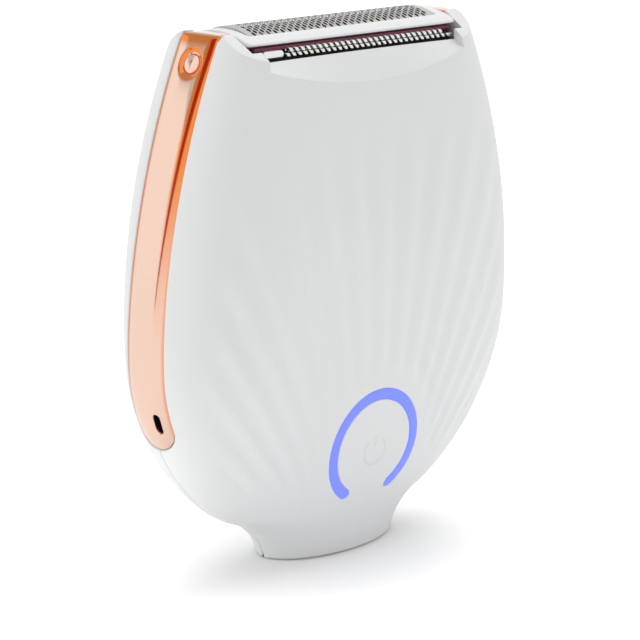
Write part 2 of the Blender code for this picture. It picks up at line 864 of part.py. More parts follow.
def ring_outline():
    """Light ring seen along its axis: an open C."""
    outer, inner = RING_RADIUS, RING_RADIUS - RING_WIDTH
    half_gap = radians(RING_GAP_DEG / 2)
    middle, round_end = (outer + inner) / 2, RING_WIDTH / 2
    start = -pi / 2 + half_gap + round_end / middle
    turns = [start + (pi - 2 * start) * i / 32 for i in range(33)]
    points = [Vector((outer * cos(t), outer * sin(t), 0)) for t in turns]
    points += ring_end(middle, turns[-1], round_end, 1)
    points += [Vector((inner * cos(t), inner * sin(t), 0)) for t in reversed(turns)]
    return points + ring_end(middle, turns[0], round_end, -1)


def through_wall(points):
    """Prism through the front wall along the power key's axis."""
    depth = Vector((0, 0, 3 * WALL))
    bm = prism([p - depth / 2 - Vector((0, 0, WALL)) / 2 for p in points], depth)
    return moved(bm, ring_frame())


def disc_outline(radius):
    return [Vector((radius * cos(2 * pi * i / 40), radius * sin(2 * pi * i / 40), 0)) for i in range(40)]


def build_front():
    """Front shell, light ring and power key, all cut from one moulded wall."""
    wall = front_wall()
    key = overlap_of(wall.copy(), through_wall(key_outline(0)))
    ring = overlap_of(wall.copy(), through_wall(ring_outline()))
    shell = carve(wall, through_wall(disc_outline(RING_RADIUS + GAP)), moved(
        oval(INLET_LENGTH, INLET_WIDTH, -SIDE_WALL - 1, 1), inlet_frame()))
    nub_top = board_face() - GAP - SWITCH_HEIGHT - SWITCH_PLUNGER - KEY_FREE_TRAVEL
    nub_root = -face_depth(0, RING_HEIGHT) + WALL / 2
    nub = moved(rod(KEY_NUB_RADIUS, nub_root, nub_top, 12), aim((0, 0, RING_HEIGHT), (0, 1, 0)))
    key = fuse(key, nub)
    piece("front_shell", shell, white())
    piece("light_ring", ring, material("light_guide", (0.36, 0.40, 0.95), 0.25, glow=1.0))
    piece("power_key", key, white(), key_pivot())


def build_rear():
    """Rear shell with its saddles for the cell and bosses for the motor cradle."""
    bm = half_shell(1)
    y = cell_depth()
    for x in (-SADDLE_X, SADDLE_X):
        wall = face_depth(x, CELL_HEIGHT, SIDE_WALL, WALL) + WALL / 2
        low = (x - SADDLE_THICKNESS / 2, y + CELL_RADIUS / 2, CELL_HEIGHT - CELL_RADIUS / 2)
        high = (x + SADDLE_THICKNESS / 2, wall, CELL_HEIGHT + CELL_RADIUS / 2)
        rib = carve(box(low, high), moved(rod(CELL_RADIUS + GAP, -CELL_LENGTH, CELL_LENGTH, 28), cell_turn()))
        bm = fuse(bm, rib)
    for place in cradle_screw_places():
        wall = face_depth(place.x, place.z, SIDE_WALL, WALL) + WALL / 2
        seat = place.y + GAP
        bm = fuse(bm, boss(Vector((place.x, 0, place.z)), seat, wall))
        end = place.y - CRADLE_EAR_THICKNESS + SCREW_GRIP + GAP
        bm = carve(bm, pilot(Vector((place.x, 0, place.z)), seat - 1, end))
    piece("rear_shell", bm, white())


def release_hole():
    """Countersunk hole for the release dome in a trim."""
    hole = RELEASE_RADIUS + GAP
    low, high = -TRIM_THICKNESS - 1, RELEASE_DOME + 1
    profile = [(0, low), (hole, low), (hole, -RELEASE_SINK), (hole + RELEASE_COUNTERSINK, 0)]
    profile += [(hole + RELEASE_COUNTERSINK, high), (0, high)]
    return moved(turned(profile, 20), release_frame())


def build_trims():
    copper = material("copper_chrome", (0.90, 0.52, 0.36), 0.14, 1.0)
    slot = moved(oval(INLET_LENGTH, INLET_WIDTH, -TRIM_THICKNESS - 1, 1), inlet_frame())
    piece("left_trim", carve(trim_strip(), release_hole(), slot), copper)
    piece("right_trim", mirrored(carve(trim_strip(), release_hole())), copper)


def white():
    return material("white_plastic", WHITE, 0.32)


# Release buttons

def release_button():
    """Dome, stem, flange behind the trim and plunger that frees the head."""
    under = release_flange()
    flange = under + RELEASE_FLANGE
    tip = -release_reach() + 2 * GAP
    dome = []
    for i in range(4):
        turn = pi / 8 * i
        dome.append((RELEASE_RADIUS * cos(turn), (RELEASE_DOME + RELEASE_SINK) * sin(turn) - RELEASE_SINK))
    dome.append((0, RELEASE_DOME))
    profile = [(0, tip), (RELEASE_PLUNGER_RADIUS, tip), (RELEASE_PLUNGER_RADIUS, under)]
    profile += [(RELEASE_FLANGE_RADIUS, under), (RELEASE_FLANGE_RADIUS, flange)]
    profile += [(RELEASE_RADIUS, flange)] + dome
    return moved(turned(profile, 14), release_frame())


def button_seal():
    """Soft ring round the plunger on the counterbore's floor, against water."""
    low = release_floor() + GAP
    high = low + RELEASE_SEAL
    ring = tube(RELEASE_PLUNGER_RADIUS + GAP, RELEASE_FLANGE_RADIUS, low, high, 12)
    return moved(ring, release_frame())


def build_release():
    copper = material("button_copper", (0.90, 0.52, 0.36), 0.12, 1.0)
    rubber = material("seal_rubber", (0.08, 0.08, 0.09), 0.7)
    place, _ = side_axis(RELEASE_HEIGHT)
    away = Vector((-place.x, 0, place.z))
    piece("left_release_button", release_button(), copper, place)
    piece("right_release_button", mirrored(release_button()), copper, away)
    piece("left_button_seal", button_seal(), rubber)
    piece("right_button_seal", mirrored(button_seal()), rubber)


# Head

def foil_arc():
    """Foil's arch: centre height and radius of its outer face."""
    rise = FOIL_RIDGE_Z - FOIL_EDGE_Z
    radius = (FOIL_HALF_WIDTH ** 2 + rise ** 2) / (2 * rise)
    return FOIL_RIDGE_Z - radius, radius


def foil_point(x, along, inset):
    """Place on the foil at a distance along its section from the ridge; past the edge it hangs down."""
    centre, radius = foil_arc()
    half_arc = radius * asin(FOIL_HALF_WIDTH / radius)
    turn = min(max(along, -half_arc), half_arc) / radius
    beyond = max(abs(along) - half_arc, 0)
    if beyond:
        side = 1 if along > 0 else -1
        return Vector((x, side * (FOIL_HALF_WIDTH - inset), FOIL_EDGE_Z - beyond))
    return Vector((x, (radius - inset) * sin(turn), centre + (radius - inset) * cos(turn)))


def foil_tiles():
    """Flat pattern of the foil: rhombic tiles, each with a rhombic opening, and plain margins."""
    _, radius = foil_arc()
    half_arc = radius * asin(FOIL_HALF_WIDTH / radius)
    step_x = FOIL_HALF_LENGTH / (FOIL_COLUMNS + 1)
    step_v = half_arc / (FOIL_ROWS + 1)
    last_i, last_j = 2 * (FOIL_COLUMNS + 1), 2 * (FOIL_ROWS + 1)

    def spot(i, j):
        return i * step_x - FOIL_HALF_LENGTH, j * step_v - half_arc

    tiles = []
    for i in range(1, last_i):
        for j in range(1, last_j):
            if (i + j) % 2:
                continue
            ring = [spot(i - 1, j), spot(i, j - 1), spot(i + 1, j), spot(i, j + 1)]
            if i in (1, last_i - 1) or j in (1, last_j - 1):
                tiles.append(ring)
                continue
            x, v = spot(i, j)
            hole = [(x + (a - x) * (1 - FOIL_WEB), v + (b - v) * (1 - FOIL_WEB)) for a, b in ring]
            for k in range(4):
                m = (k + 1) % 4
                tiles.append([ring[k], ring[m], hole[m], hole[k]])
    for j in range(2, last_j, 2):
        tiles.append([spot(0, j - 1), spot(1, j), spot(0, j + 1)])
        tiles.append([spot(last_i, j + 1), spot(last_i - 1, j), spot(last_i, j - 1)])
    for i in range(2, last_i, 2):
        tiles.append([spot(i + 1, 0), spot(i, 1), spot(i - 1, 0)])
        tiles.append([spot(i - 1, last_j), spot(i, last_j - 1), spot(i + 1, last_j)])
    for i, j, way in ((0, 0, 1), (last_i, 0, -1), (last_i, last_j, 1), (0, last_j, -1)):
        beside = 1 if i == 0 else i - 1
        above = 1 if j == 0 else j - 1
        tiles.append([spot(i, j), spot(beside, j), spot(i, above)][::way])
    marks = [0] + list(range(1, last_i, 2)) + [last_i]
    for i, k in zip(marks, marks[1:]):
        for j, way in ((0, -1), (last_j, 1)):
            (x, v), (far, _) = spot(i, j), spot(k, j)
            hem = v + way * FOIL_SKIRT
            tiles.append([(x, v), (far, v), (far, hem), (x, hem)][::way])
    return tiles


def foil():
    """Perforated foil: the flat pattern bent over the arch, as an outer and an inner face with edges."""
    bm = bmesh.new()
    places = {}

    def pair(spot):
        key = (round(spot[0], 3), round(spot[1], 3))
        if key not in places:
            places[key] = [bm.verts.new(foil_point(*spot, inset)) for inset in (0, FOIL_THICKNESS)]
        return places[key]

    rims = {}
    for tile in foil_tiles():
        pairs = [pair(spot) for spot in tile]
        bm.faces.new([p[0] for p in pairs])
        bm.faces.new([p[1] for p in reversed(pairs)])
        for a, b in zip(pairs, pairs[1:] + pairs[:1]):
            key = frozenset((id(a), id(b)))
            rims[key] = None if key in rims else (a, b)
    for rim in rims.values():
        if rim:
            (a, under_a), (b, under_b) = rim
            bm.faces.new((b, a, under_a, under_b))
    return tidy(bm)


def frame_profile():
    """Cassette's section across the head: crowned top, rails, side walls."""
    wall = FOIL_HALF_WIDTH + GAP + FRAME_WALL
    half = [(FRAME_HALF_WIDTH, FRAME_RAIL_Z), (FRAME_HALF_WIDTH, FRAME_RAIL_Z + FRAME_RAIL_EDGE)]
    rise = FRAME_CROWN_Z - half[1][1]
    for k in (0.8, 0.6, 0.4, 0.2):
        half.append((FRAME_HALF_WIDTH * k, FRAME_CROWN_Z - rise * k * k))
    right = [(wall, FRAME_BOTTOM), (wall, FRAME_RAIL_Z)] + half
    left = [(-y, z) for y, z in reversed(right)]
    return right + [(0, FRAME_CROWN_Z)] + left


def head_frame():
    """White cassette: open below and above, notched at its ends for the release plungers."""
    ring = [Vector((-FRAME_HALF_LENGTH, y, z)) for y, z in frame_profile()]
    bm = prism(ring, Vector((2 * FRAME_HALF_LENGTH, 0, 0)))
    x, y = FOIL_HALF_LENGTH + GAP, FOIL_HALF_WIDTH + GAP
    window = box((-x, -y, FRAME_BOTTOM - 1), (x, y, FRAME_CROWN_Z + 1))
    tools = [window]
    place, out = side_axis(RELEASE_HEIGHT)
    entry = place - out * release_reach()
    half = RELEASE_PLUNGER_RADIUS + 2 * GAP
    top = entry.z + RELEASE_PLUNGER_RADIUS + 2 * GAP
    for s in (-1, 1):
        deep, face = s * (FRAME_HALF_LENGTH - FRAME_NOTCH_DEPTH), s * (FRAME_HALF_LENGTH + 1)
        tools.append(box((min(deep, face), -half, FRAME_BOTTOM - 1), (max(deep, face), half, top)))
        slot = TAB_HALF_WIDTH + STROKE + GAP
        inner, outer = s * (y - 1), s * (y + FRAME_WALL + 1)
        low, high = blade_bottom() - GAP, blade_bottom() + COMB_THICKNESS + GAP
        tools.append(box((-slot, min(inner, outer), low), (slot, max(inner, outer), high)))
    return carve(bm, *tools)


def blade_bottom():
    return COMB_BOTTOM + COMB_THICKNESS + GAP


def comb_back():
    """Depth of the face that the trimmers lie against."""
    return FOIL_HALF_WIDTH + 2 * GAP + FRAME_WALL


def toothed_plate(half_length, pitch, reach, bottom):
    """Flat plate with tapered teeth towards the front."""
    back = -comb_back()
    count = int((2 * half_length - 2 * TOOTH_MARGIN) / pitch)
    points = [Vector((-half_length, back, bottom)), Vector((half_length, back, bottom))]
    points.append(Vector((half_length, -reach + GAP, bottom)))
    for i in reversed(range(count)):
        x = (i - (count - 1) / 2) * pitch
        root, tip = pitch * TOOTH_ROOT_SHARE / 2, pitch * TOOTH_TIP_SHARE / 2
        if i == count - 1:
            points.append(Vector((x + root + pitch / 2, -reach + GAP, bottom)))
            points.append(Vector((x + root + pitch / 2 - GAP, -COMB_ROOT, bottom)))
        points.append(Vector((x + root, -COMB_ROOT, bottom)))
        points.append(Vector((x + tip, -reach, bottom)))
        points.append(Vector((x - tip, -reach, bottom)))
        points.append(Vector((x - root, -COMB_ROOT, bottom)))
        if i == 0:
            points.append(Vector((x - root - pitch / 2 + GAP, -COMB_ROOT, bottom)))
            points.append(Vector((x - root - pitch / 2, -reach + GAP, bottom)))
    points.append(Vector((-half_length, -reach + GAP, bottom)))
    return prism(points, Vector((0, 0, COMB_THICKNESS)))


def trimmer_blade():
    """Moving blade with the tab that the cutter carries along."""
    bm = toothed_plate(BLADE_HALF_LENGTH, BLADE_PITCH, COMB_REACH - BLADE_SETBACK, blade_bottom())
    low = (-TAB_HALF_WIDTH, -comb_back() - GAP, blade_bottom())
    high = (TAB_HALF_WIDTH, -CUTTER_HALF_WIDTH - GAP - FORK_POST / 2, blade_bottom() + COMB_THICKNESS)
    return fuse(bm, box(low, high))


def trimmer_carrier():
    """Dark bar above the moving blade, under the cassette's rail."""
    bottom = blade_bottom() + COMB_THICKNESS + GAP
    low = (-COMB_HALF_LENGTH, -comb_back() - CARRIER_DEPTH, bottom)
    high = (COMB_HALF_LENGTH, -comb_back(), FRAME_RAIL_Z - GAP)
    return box(low, high)


def build_head():
    steel = material("trimmer_steel", (0.72, 0.72, 0.72), 0.25, 1.0)
    maroon = material("carrier_red", (0.16, 0.02, 0.05), 0.45)
    piece("head_frame", head_frame(), white())
    piece("foil", foil(), material("foil_nickel", (0.78, 0.78, 0.78), 0.22, 1.0))
    for name, turn in (("front", None), ("rear", turned_about)):
        for part, make, finish in (("comb", comb, steel), ("trimmer_blade", trimmer_blade, steel),
                                   ("trimmer_carrier", trimmer_carrier, maroon)):
            bm = make()
            if turn:
                bm = turn(bm)
            piece(f"{name}_{part}", bm, finish)


def comb():
    return toothed_plate(COMB_HALF_LENGTH, COMB_PITCH, COMB_REACH, COMB_BOTTOM)


# Cutter and drive

def cutter_blades():
    """Row of arched blades on a spine, cut to the foil's arch."""
    centre, radius = foil_arc()
    top = FOIL_RIDGE_Z
    foot = CARRIAGE_BOTTOM + CARRIAGE_THICKNESS + GAP
    pitch = (2 * CUTTER_HALF_LENGTH - CUTTER_BLADE) / (CUTTER_COUNT - 1)
    points = [Vector((CUTTER_HALF_LENGTH, -CUTTER_HALF_WIDTH, foot))]
    for i in reversed(range(CUTTER_COUNT)):
        x = -CUTTER_HALF_LENGTH + CUTTER_BLADE / 2 + i * pitch
        for dx, z in ((1, foot + CUTTER_SPINE), (1, top), (-1, top), (-1, foot + CUTTER_SPINE)):
            points.append(Vector((x + dx * CUTTER_BLADE / 2, -CUTTER_HALF_WIDTH, z)))
    points.append(Vector((-CUTTER_HALF_LENGTH, -CUTTER_HALF_WIDTH, foot)))
    bm = prism(points, Vector((0, 2 * CUTTER_HALF_WIDTH, 0)))
    inside = radius - FOIL_THICKNESS - GAP
    for lean in (-18, -9, 0, 9, 18):
        normal = Vector((0, sin(radians(lean)), cos(radians(lean))))
        bm = cut(bm, Vector((0, 0, centre)) + normal * inside, normal)
    return bm


def cutter_carriage():
    """Bar under the blades, with a pair of upright posts each side that drive the trimmer blades."""
    top = CARRIAGE_BOTTOM + CARRIAGE_THICKNESS
    x, y = CUTTER_HALF_LENGTH, CUTTER_HALF_WIDTH
    bm = box((-x, -y, CARRIAGE_BOTTOM), (x, y, top))
    inner, outer = TAB_HALF_WIDTH + GAP, TAB_HALF_WIDTH + GAP + FORK_POST
    post_top = blade_bottom() + COMB_THICKNESS
    near, far = CUTTER_HALF_WIDTH - GAP, CUTTER_HALF_WIDTH + GAP + FORK_POST
    posts = []
    for side in (-1, 1):
        for end in (-1, 1):
            xs, ys = sorted((end * inner, end * outer)), sorted((side * near, side * far))
            foot = sorted((side * (near - 1), side * far))
            posts.append(box((xs[0], foot[0], CARRIAGE_BOTTOM + GAP), (xs[1], foot[1], top - GAP)))
            ys = sorted((side * (CUTTER_HALF_WIDTH + GAP), side * far))
            posts.append(box((xs[0], ys[0], CARRIAGE_BOTTOM + 2 * GAP), (xs[1], ys[1], post_top)))
    return fuse(bm, *posts)


def drive_yoke():
    """Fork that turns the eccentric's circle into a stroke along X."""
    top = CARRIAGE_BOTTOM - GAP
    x, y = YOKE_HALF_LENGTH, YOKE_HALF_WIDTH
    points = []
    for px, pz in ((-x, YOKE_BOTTOM), (-x, top), (x, top), (x, YOKE_BOTTOM), (YOKE_SLOT, YOKE_BOTTOM),
                   (YOKE_SLOT, YOKE_BRIDGE), (-YOKE_SLOT, YOKE_BRIDGE), (-YOKE_SLOT, YOKE_BOTTOM)):
        points.append(Vector((px, -y, pz)))
    return prism(points, Vector((0, 2 * y, 0)))


def head_deck():
    """Plate on the shelf that closes the body under the cutter."""
    x, y = WELL_HALF_LENGTH - GAP, WELL_HALF_WIDTH - GAP
    bm = box((-x, -y, DECK_BOTTOM), (x, y, DECK_TOP))
    way_x, way_y = YOKE_HALF_LENGTH + STROKE + GAP, YOKE_HALF_WIDTH + GAP
    tools = [box((-way_x, -way_y, DECK_BOTTOM - 1), (way_x, way_y, DECK_TOP + 1))]
    tools += [deck_screw_hole(-1), deck_screw_hole(1)]
    return carve(bm, *tools)


def drive_seal():
    """Soft collar round the yoke, lying on the deck."""
    way_x, way_y = YOKE_HALF_LENGTH + STROKE + GAP, YOKE_HALF_WIDTH + GAP
    low, high = DECK_TOP + GAP / 2, CARRIAGE_BOTTOM - GAP
    high = min(low + SEAL_THICKNESS, high)
    bm = box((-way_x - SEAL_RIM, -way_y - SEAL_RIM, low), (way_x + SEAL_RIM, way_y + SEAL_RIM, high))
    return carve(bm, box((-way_x, -way_y, low - 1), (way_x, way_y, high + 1)))


def eccentric():
    """Disc on the motor shaft with its pin set off centre by the stroke."""
    top = ECCENTRIC_BOTTOM + ECCENTRIC_THICKNESS
    bm = rod(ECCENTRIC_RADIUS, ECCENTRIC_BOTTOM, top, 18)
    pin = moved(rod(PIN_RADIUS, top - 1, PIN_TOP, 12), Matrix.Translation((STROKE, 0, 0)))
    bore = rod(SHAFT_RADIUS + GAP / 2, ECCENTRIC_BOTTOM - 1, ECCENTRIC_BOTTOM + ECCENTRIC_THICKNESS / 2, 12)
    return carve(fuse(bm, pin), bore)


def motor_shaft():
    return rod(SHAFT_RADIUS, MOTOR_TOP + GAP, ECCENTRIC_BOTTOM + ECCENTRIC_THICKNESS / 2 - GAP, 14)


def motor(grow=0.0):
    """Motor can: round with two flats, and a bearing boss below."""
    low = MOTOR_TOP - MOTOR_LENGTH
    bm = rod(MOTOR_RADIUS + grow, low, MOTOR_TOP, 32)
    for side in (-1, 1):
        bm = cut(bm, Vector((0, side * (MOTOR_HALF_FLAT + grow), 0)), Vector((0, side, 0)))
    if grow:
        return bm
    return fuse(bm, rod(3 * SHAFT_RADIUS, low - SHAFT_RADIUS, low + 1, 14))


def cradle_middle():
    return MOTOR_TOP - MOTOR_LENGTH / 2


def cradle_screw_places():
    """Back faces of the cradle's ears, where the bosses of the rear shell meet them."""
    x = MOTOR_RADIUS + GAP + CRADLE_WALL + CRADLE_EAR / 2
    return [Vector((s * x, MOTOR_HALF_FLAT + GAP + CRADLE_WALL, cradle_middle())) for s in (-1, 1)]


def motor_cradle():
    """Saddle round the motor, open at the front, with a screwed ear each side."""
    x, y = MOTOR_RADIUS + GAP + CRADLE_WALL, MOTOR_HALF_FLAT + GAP + CRADLE_WALL
    low, high = cradle_middle() - CRADLE_HEIGHT / 2, cradle_middle() + CRADLE_HEIGHT / 2
    bm = box((-x, -MOTOR_HALF_FLAT / 2, low), (x, y, high))
    ear = box((-x - CRADLE_EAR, y - CRADLE_EAR_THICKNESS, low + CRADLE_WALL),
              (x + CRADLE_EAR, y, high - CRADLE_WALL))
    bm = carve(fuse(bm, ear), motor(GAP))
    for place in cradle_screw_places():
        bm = carve(bm, pilot(Vector((place.x, 0, place.z)), -y, 2 * y))
    return bm


def screw(grip):
    """Round-headed screw: head above z = 0, shank below."""
    profile = [(0, -grip), (SCREW_RADIUS, -grip), (SCREW_RADIUS, 0), (SCREW_HEAD_RADIUS, 0)]
    return turned(profile + [(SCREW_HEAD_RADIUS, SCREW_HEAD), (0, SCREW_HEAD)], 10)


def build_drive():
    steel = material("blade_steel", (0.66, 0.66, 0.68), 0.3, 1.0)
    grey = material("drive_plastic", (0.28, 0.29, 0.31), 0.5)
    zinc = material("motor_can", (0.60, 0.61, 0.62), 0.35, 1.0)
    rubber = material("seal_rubber", (0.08, 0.08, 0.09), 0.7)
    piece("cutter_blades", cutter_blades(), steel)
    piece("cutter_carriage", cutter_carriage(), grey)
    piece("drive_yoke", drive_yoke(), grey)
    piece("head_deck", head_deck(), grey)
    piece("drive_seal", drive_seal(), rubber)
    piece("eccentric", eccentric(), material("eccentric_plastic", (0.75, 0.72, 0.62), 0.45))
    piece("motor_shaft", motor_shaft(), steel)
    piece("motor", motor(), zinc)
    piece("motor_cradle", motor_cradle(), grey)


def build_screws():
    zinc = material("screw_zinc", (0.62, 0.62, 0.64), 0.35, 1.0)
    rise = GAP / 2
    for name, side in (("left", -1), ("right", 1)):
        place = deck_screw_place(side) + Vector((0, 0, rise))
        turn = Matrix.Translation(place)
        piece(f"{name}_deck_screw", moved(screw(DECK_THICKNESS + SHELF_THICKNESS), turn), zinc)
    for name, place in zip(("left", "right"), cradle_screw_places()):
        face = place - Vector((0, CRADLE_EAR_THICKNESS + rise, 0))
        turn = aim(face, (0, -1, 0))
        piece(f"{name}_cradle_screw", moved(screw(SCREW_GRIP), turn), zinc)
    for name, place in zip(("left", "right"), board_screw_places()):
        face = Vector((place.x, board_face() + BOARD_THICKNESS + rise, place.z))
        turn = aim(face, (0, 1, 0))
        piece(f"{name}_board_screw", moved(screw(SCREW_GRIP), turn), zinc)


# Power supply and board

def cell_turn():
    """Cell's axis along X, z of the turned solid towards +X."""
    return aim((0, cell_depth(), CELL_HEIGHT), (1, 0, 0))


def build_power():
    half = CELL_LENGTH / 2
    shoulder = half - CELL_NUB
    profile = [(0, -half), (CELL_RADIUS, -half), (CELL_RADIUS, shoulder), (CELL_NUB_RADIUS, shoulder)]
    profile += [(CELL_NUB_RADIUS, half), (0, half)]
    piece("cell", moved(turned(profile, 28), cell_turn()), material("cell_wrap", (0.10, 0.26, 0.20), 0.4))
    tin = material("tab_nickel", (0.70, 0.69, 0.66), 0.3, 1.0)
    for name, end in (("left", -1), ("right", 1)):
        xs = sorted((end * (half + GAP), end * (half + GAP + TAB_THICKNESS)))
        y, z = cell_depth(), CELL_HEIGHT
        low, high = (xs[0], y - TAB_SIZE / 2, z - TAB_SIZE / 2), (xs[1], y + TAB_SIZE / 2, z + TAB_SIZE / 2)
        piece(f"{name}_cell_tab", box(low, high), tin)


def build_board():
    front = board_face()
    low = (-BOARD_HALF_WIDTH, front, BOARD_BOTTOM)
    high = (BOARD_HALF_WIDTH, front + BOARD_THICKNESS, BOARD_TOP)
    bm = box(low, high)
    for place in board_screw_places():
        bm = carve(bm, pilot(place, front - 1, front + BOARD_THICKNESS + 1))
    piece("circuit_board", bm, material("board_green", (0.03, 0.20, 0.09), 0.45))
    face = front - GAP
    half = SWITCH_SIZE / 2
    base = box((-half, face - SWITCH_HEIGHT, RING_HEIGHT - half), (half, face, RING_HEIGHT + half))
    turn = aim((0, face - SWITCH_HEIGHT, RING_HEIGHT), (0, -1, 0))
    plunger = moved(rod(SWITCH_PLUNGER_RADIUS, -SWITCH_HEIGHT / 2, SWITCH_PLUNGER, 12), turn)
    piece("tact_switch", fuse(base, plunger), material("switch_black", (0.05, 0.05, 0.06), 0.5))
    middle = RING_RADIUS - RING_WIDTH / 2
    led = material("led_white", (0.80, 0.84, 1.0), 0.2, glow=2.0)
    for name, turn in (("top", 90), ("left", 180), ("right", 0)):
        x, z = middle * cos(radians(turn)), RING_HEIGHT + middle * sin(radians(turn))
        half = LED_LENGTH / 2
        piece(f"{name}_led", box((x - half, face - LED_HEIGHT, z - half), (x + half, face, z + half)), led)


def build_socket():
    """Charging inlet's body behind the slot in the left trim."""
    rim = side_drop(INLET_OFFSET + SOCKET_WIDTH / 2, INLET_HEIGHT)
    front = side_drop(INLET_OFFSET, INLET_HEIGHT) - rim - SIDE_WALL - 2 * GAP
    back = front - SOCKET_DEPTH
    x, y = SOCKET_LENGTH / 2, SOCKET_WIDTH / 2
    bm = box((-x, -y, back), (x, y, front))
    bm = carve(bm, oval(INLET_LENGTH - GAP, INLET_WIDTH - GAP, back + 2, front + 1))
    piece("charging_socket", moved(bm, inlet_frame()), material("socket_black", (0.04, 0.04, 0.045), 0.55))


def clear_scene():
    for obj in list(bpy.data.objects):
        bpy.data.objects.remove(obj)


clear_scene()
build_front()
build_rear()
build_trims()
build_release()
build_head()
build_drive()
build_screws()
build_power()
build_board()
build_socket()
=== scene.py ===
"""Looks of a palm-sized electric foil shaver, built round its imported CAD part.

Lengths are millimetres unless a comment says otherwise; sheets and bench pieces become metres when they
are finished. The front faces -Y and the foot stands on z = 0.
"""
from math import asin, atan, atan2, cos, hypot, pi, radians, sin, sqrt

import bpy
import numpy as np
from mathutils import Matrix, Vector


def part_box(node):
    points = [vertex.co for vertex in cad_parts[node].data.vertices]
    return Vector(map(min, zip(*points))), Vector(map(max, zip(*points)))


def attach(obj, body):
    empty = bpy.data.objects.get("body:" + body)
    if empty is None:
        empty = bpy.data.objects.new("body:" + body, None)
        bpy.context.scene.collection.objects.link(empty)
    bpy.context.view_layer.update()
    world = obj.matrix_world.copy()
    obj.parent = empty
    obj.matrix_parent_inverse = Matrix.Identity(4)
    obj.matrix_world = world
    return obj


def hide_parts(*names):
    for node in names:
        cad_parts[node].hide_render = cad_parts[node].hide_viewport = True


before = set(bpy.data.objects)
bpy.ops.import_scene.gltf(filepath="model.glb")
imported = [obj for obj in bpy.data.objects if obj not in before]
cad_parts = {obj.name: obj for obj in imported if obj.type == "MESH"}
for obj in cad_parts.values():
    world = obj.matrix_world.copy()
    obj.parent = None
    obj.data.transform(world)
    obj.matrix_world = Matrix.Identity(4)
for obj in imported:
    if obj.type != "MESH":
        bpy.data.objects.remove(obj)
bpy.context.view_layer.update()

MM = 0.001

# Body outline and depth, close to the CAD part's
FOOT = (15.2, 0.0)
FLARE = (23.2, 8.2)
FLARE_PULL = (7.42, 2.8)
BOWL = (42.7, 39.2)
BOWL_PULL = (0.0, 15.0)
SHOULDER = (30.4, 92.0)
SHOULDER_SLOPE = 0.45
SHOULDER_PULL = (7.2, -16.0)
BODY_TOP = 95.3
CORNER_RADIUS = 1.1
FOOT_DEPTH = (8.3, 0.0)
FOOT_DEPTH_PULL = (1.1, 16.0)
BELLY_DEPTH = (15.08, 58.0)
BELLY_PULL_DOWN = 52.0
BELLY_PULL_UP = 10.0
SHOULDER_DEPTH = (12.4, 92.0)
SHOULDER_DRAFT = 0.12
FOOT_SQUARENESS = 2.05
SHOULDER_SQUARENESS = 4.2
SQUARENESS_BIAS = 1.35

# Top of the body: sloped lip in front of the trimmer, facets beside the head, head well
LIP_HALF = 24.2
LIP_INNER_Z = 91.0
LIP_INNER_RISE = -0.3
LIP_SLOPE = 1.3
LIP_SLOPE_FALL = 0.77
WELL_HALF_LENGTH = 25.8
WELL_HALF_WIDTH = 9.2
WELL_FLOOR = 84.0
FACET_START = 5.3
FACET_SLOPE = 0.7
FACET_FAN = 1.5
BAND_LOW = 18.0
BAND_HIGH = 37.0
STEP = 0.15
LIP_STEP = 0.55

# Side trims
TRIM_HALF = 4.6
TRIM_START = 25.2
TRIM_GAP = 0.12
TRIM_REACH = TRIM_HALF + TRIM_GAP
TRIM_ROUND = 0.14
TRIM_CROWN = 0.25
TRIM_SOFT = 3.3
TRIM_FINE = 12
TRIM_EDGE_ROWS = (0.012, 0.04, 0.1, 0.2, 0.34)

# Edges and rows of the shells
PARTING = 0.06
EDGE_ROUND = 0.2
WALL_DEPTH = 1.2
SOLE_ROUND = 1.3
FACE_STOP = 1.2
LIP_ROUND = 0.45
WELL_ROUND = 0.2
FOOT_ROWS = (1.6, 11.9, 0.45)
LOW_ROWS = (12.2, BAND_LOW - 0.3, 0.75)
HIGH_ROWS = (BAND_HIGH + 0.9, WELL_FLOOR, 0.95)
BAND_FADE = (0.7, 0.97)

# Flutes
FAN_DROP = 11.0
FLUTE_PITCH_DEG = 5.25
FLUTE_COUNT = 17
FLUTE_DEPTH = 0.4
FLUTE_RISE = (13, 22)
FLUTE_FADE = (64, 84)
FLUTE_EDGE = (0.76, 0.90)
FLUTE_RING = (12.5, 17)

# Light ring and power key
RING_CENTRE_Z = 20.15
RING_LEAN = radians(12.6)
RING_MIDDLE = 10.0
RING_HALF = 1.0
RING_HALF_GAP = radians(27)
RING_HOLE = 11.06
RING_EDGE = 0.22
RING_WALL = 1.4
KEY_RADIUS = 8.93
KEY_ROUND = 0.14
SIGN_DROP = 0.7
SIGN_RADIUS = 2.65
SIGN_ARC = (radians(128), radians(412))
SIGN_BAR = (0.9, 3.2)

# Release domes and charging slot
RELEASE_Z = 90.5
DISH_RADIUS = 3.0
DISH_DEPTH = 0.42
DOME_RADIUS = 1.75
DOME_GAP = 0.05
DOME_RISE = 0.95
DOME_SINK = 0.55
STEM_RADIUS = 1.3
STEM_Z = (-3.9, -2.6)
DOME_FOOT_Z = -1.2
SLOT_Z = 30.4
SLOT_OFFSET = 2.0
SLOT_HALF = 1.12
SLOT_RADIUS = 0.86

# Painted reflection on the copper, a deeper orange: front edge, both rims, shoulder corner, seat of the dome
PAINTED_REFLECTION_EDGE_Y = (-2.0, -2.7)
PAINTED_REFLECTION_EDGE_Z = (40, 78)
PAINTED_REFLECTION_FRONT_RIM = (-3.9, -4.4, 0.6)
PAINTED_REFLECTION_REAR_RIM = (3.7, 4.3, 0.7)
PAINTED_REFLECTION_CORNER_Z = (92.6, 94.2)
PAINTED_REFLECTION_END_Z = (95.25, 94.95)
PAINTED_REFLECTION_SEAT = (1.5, 2.0)
PAINTED_REFLECTION_SEAT_END = (3.3, 2.5)

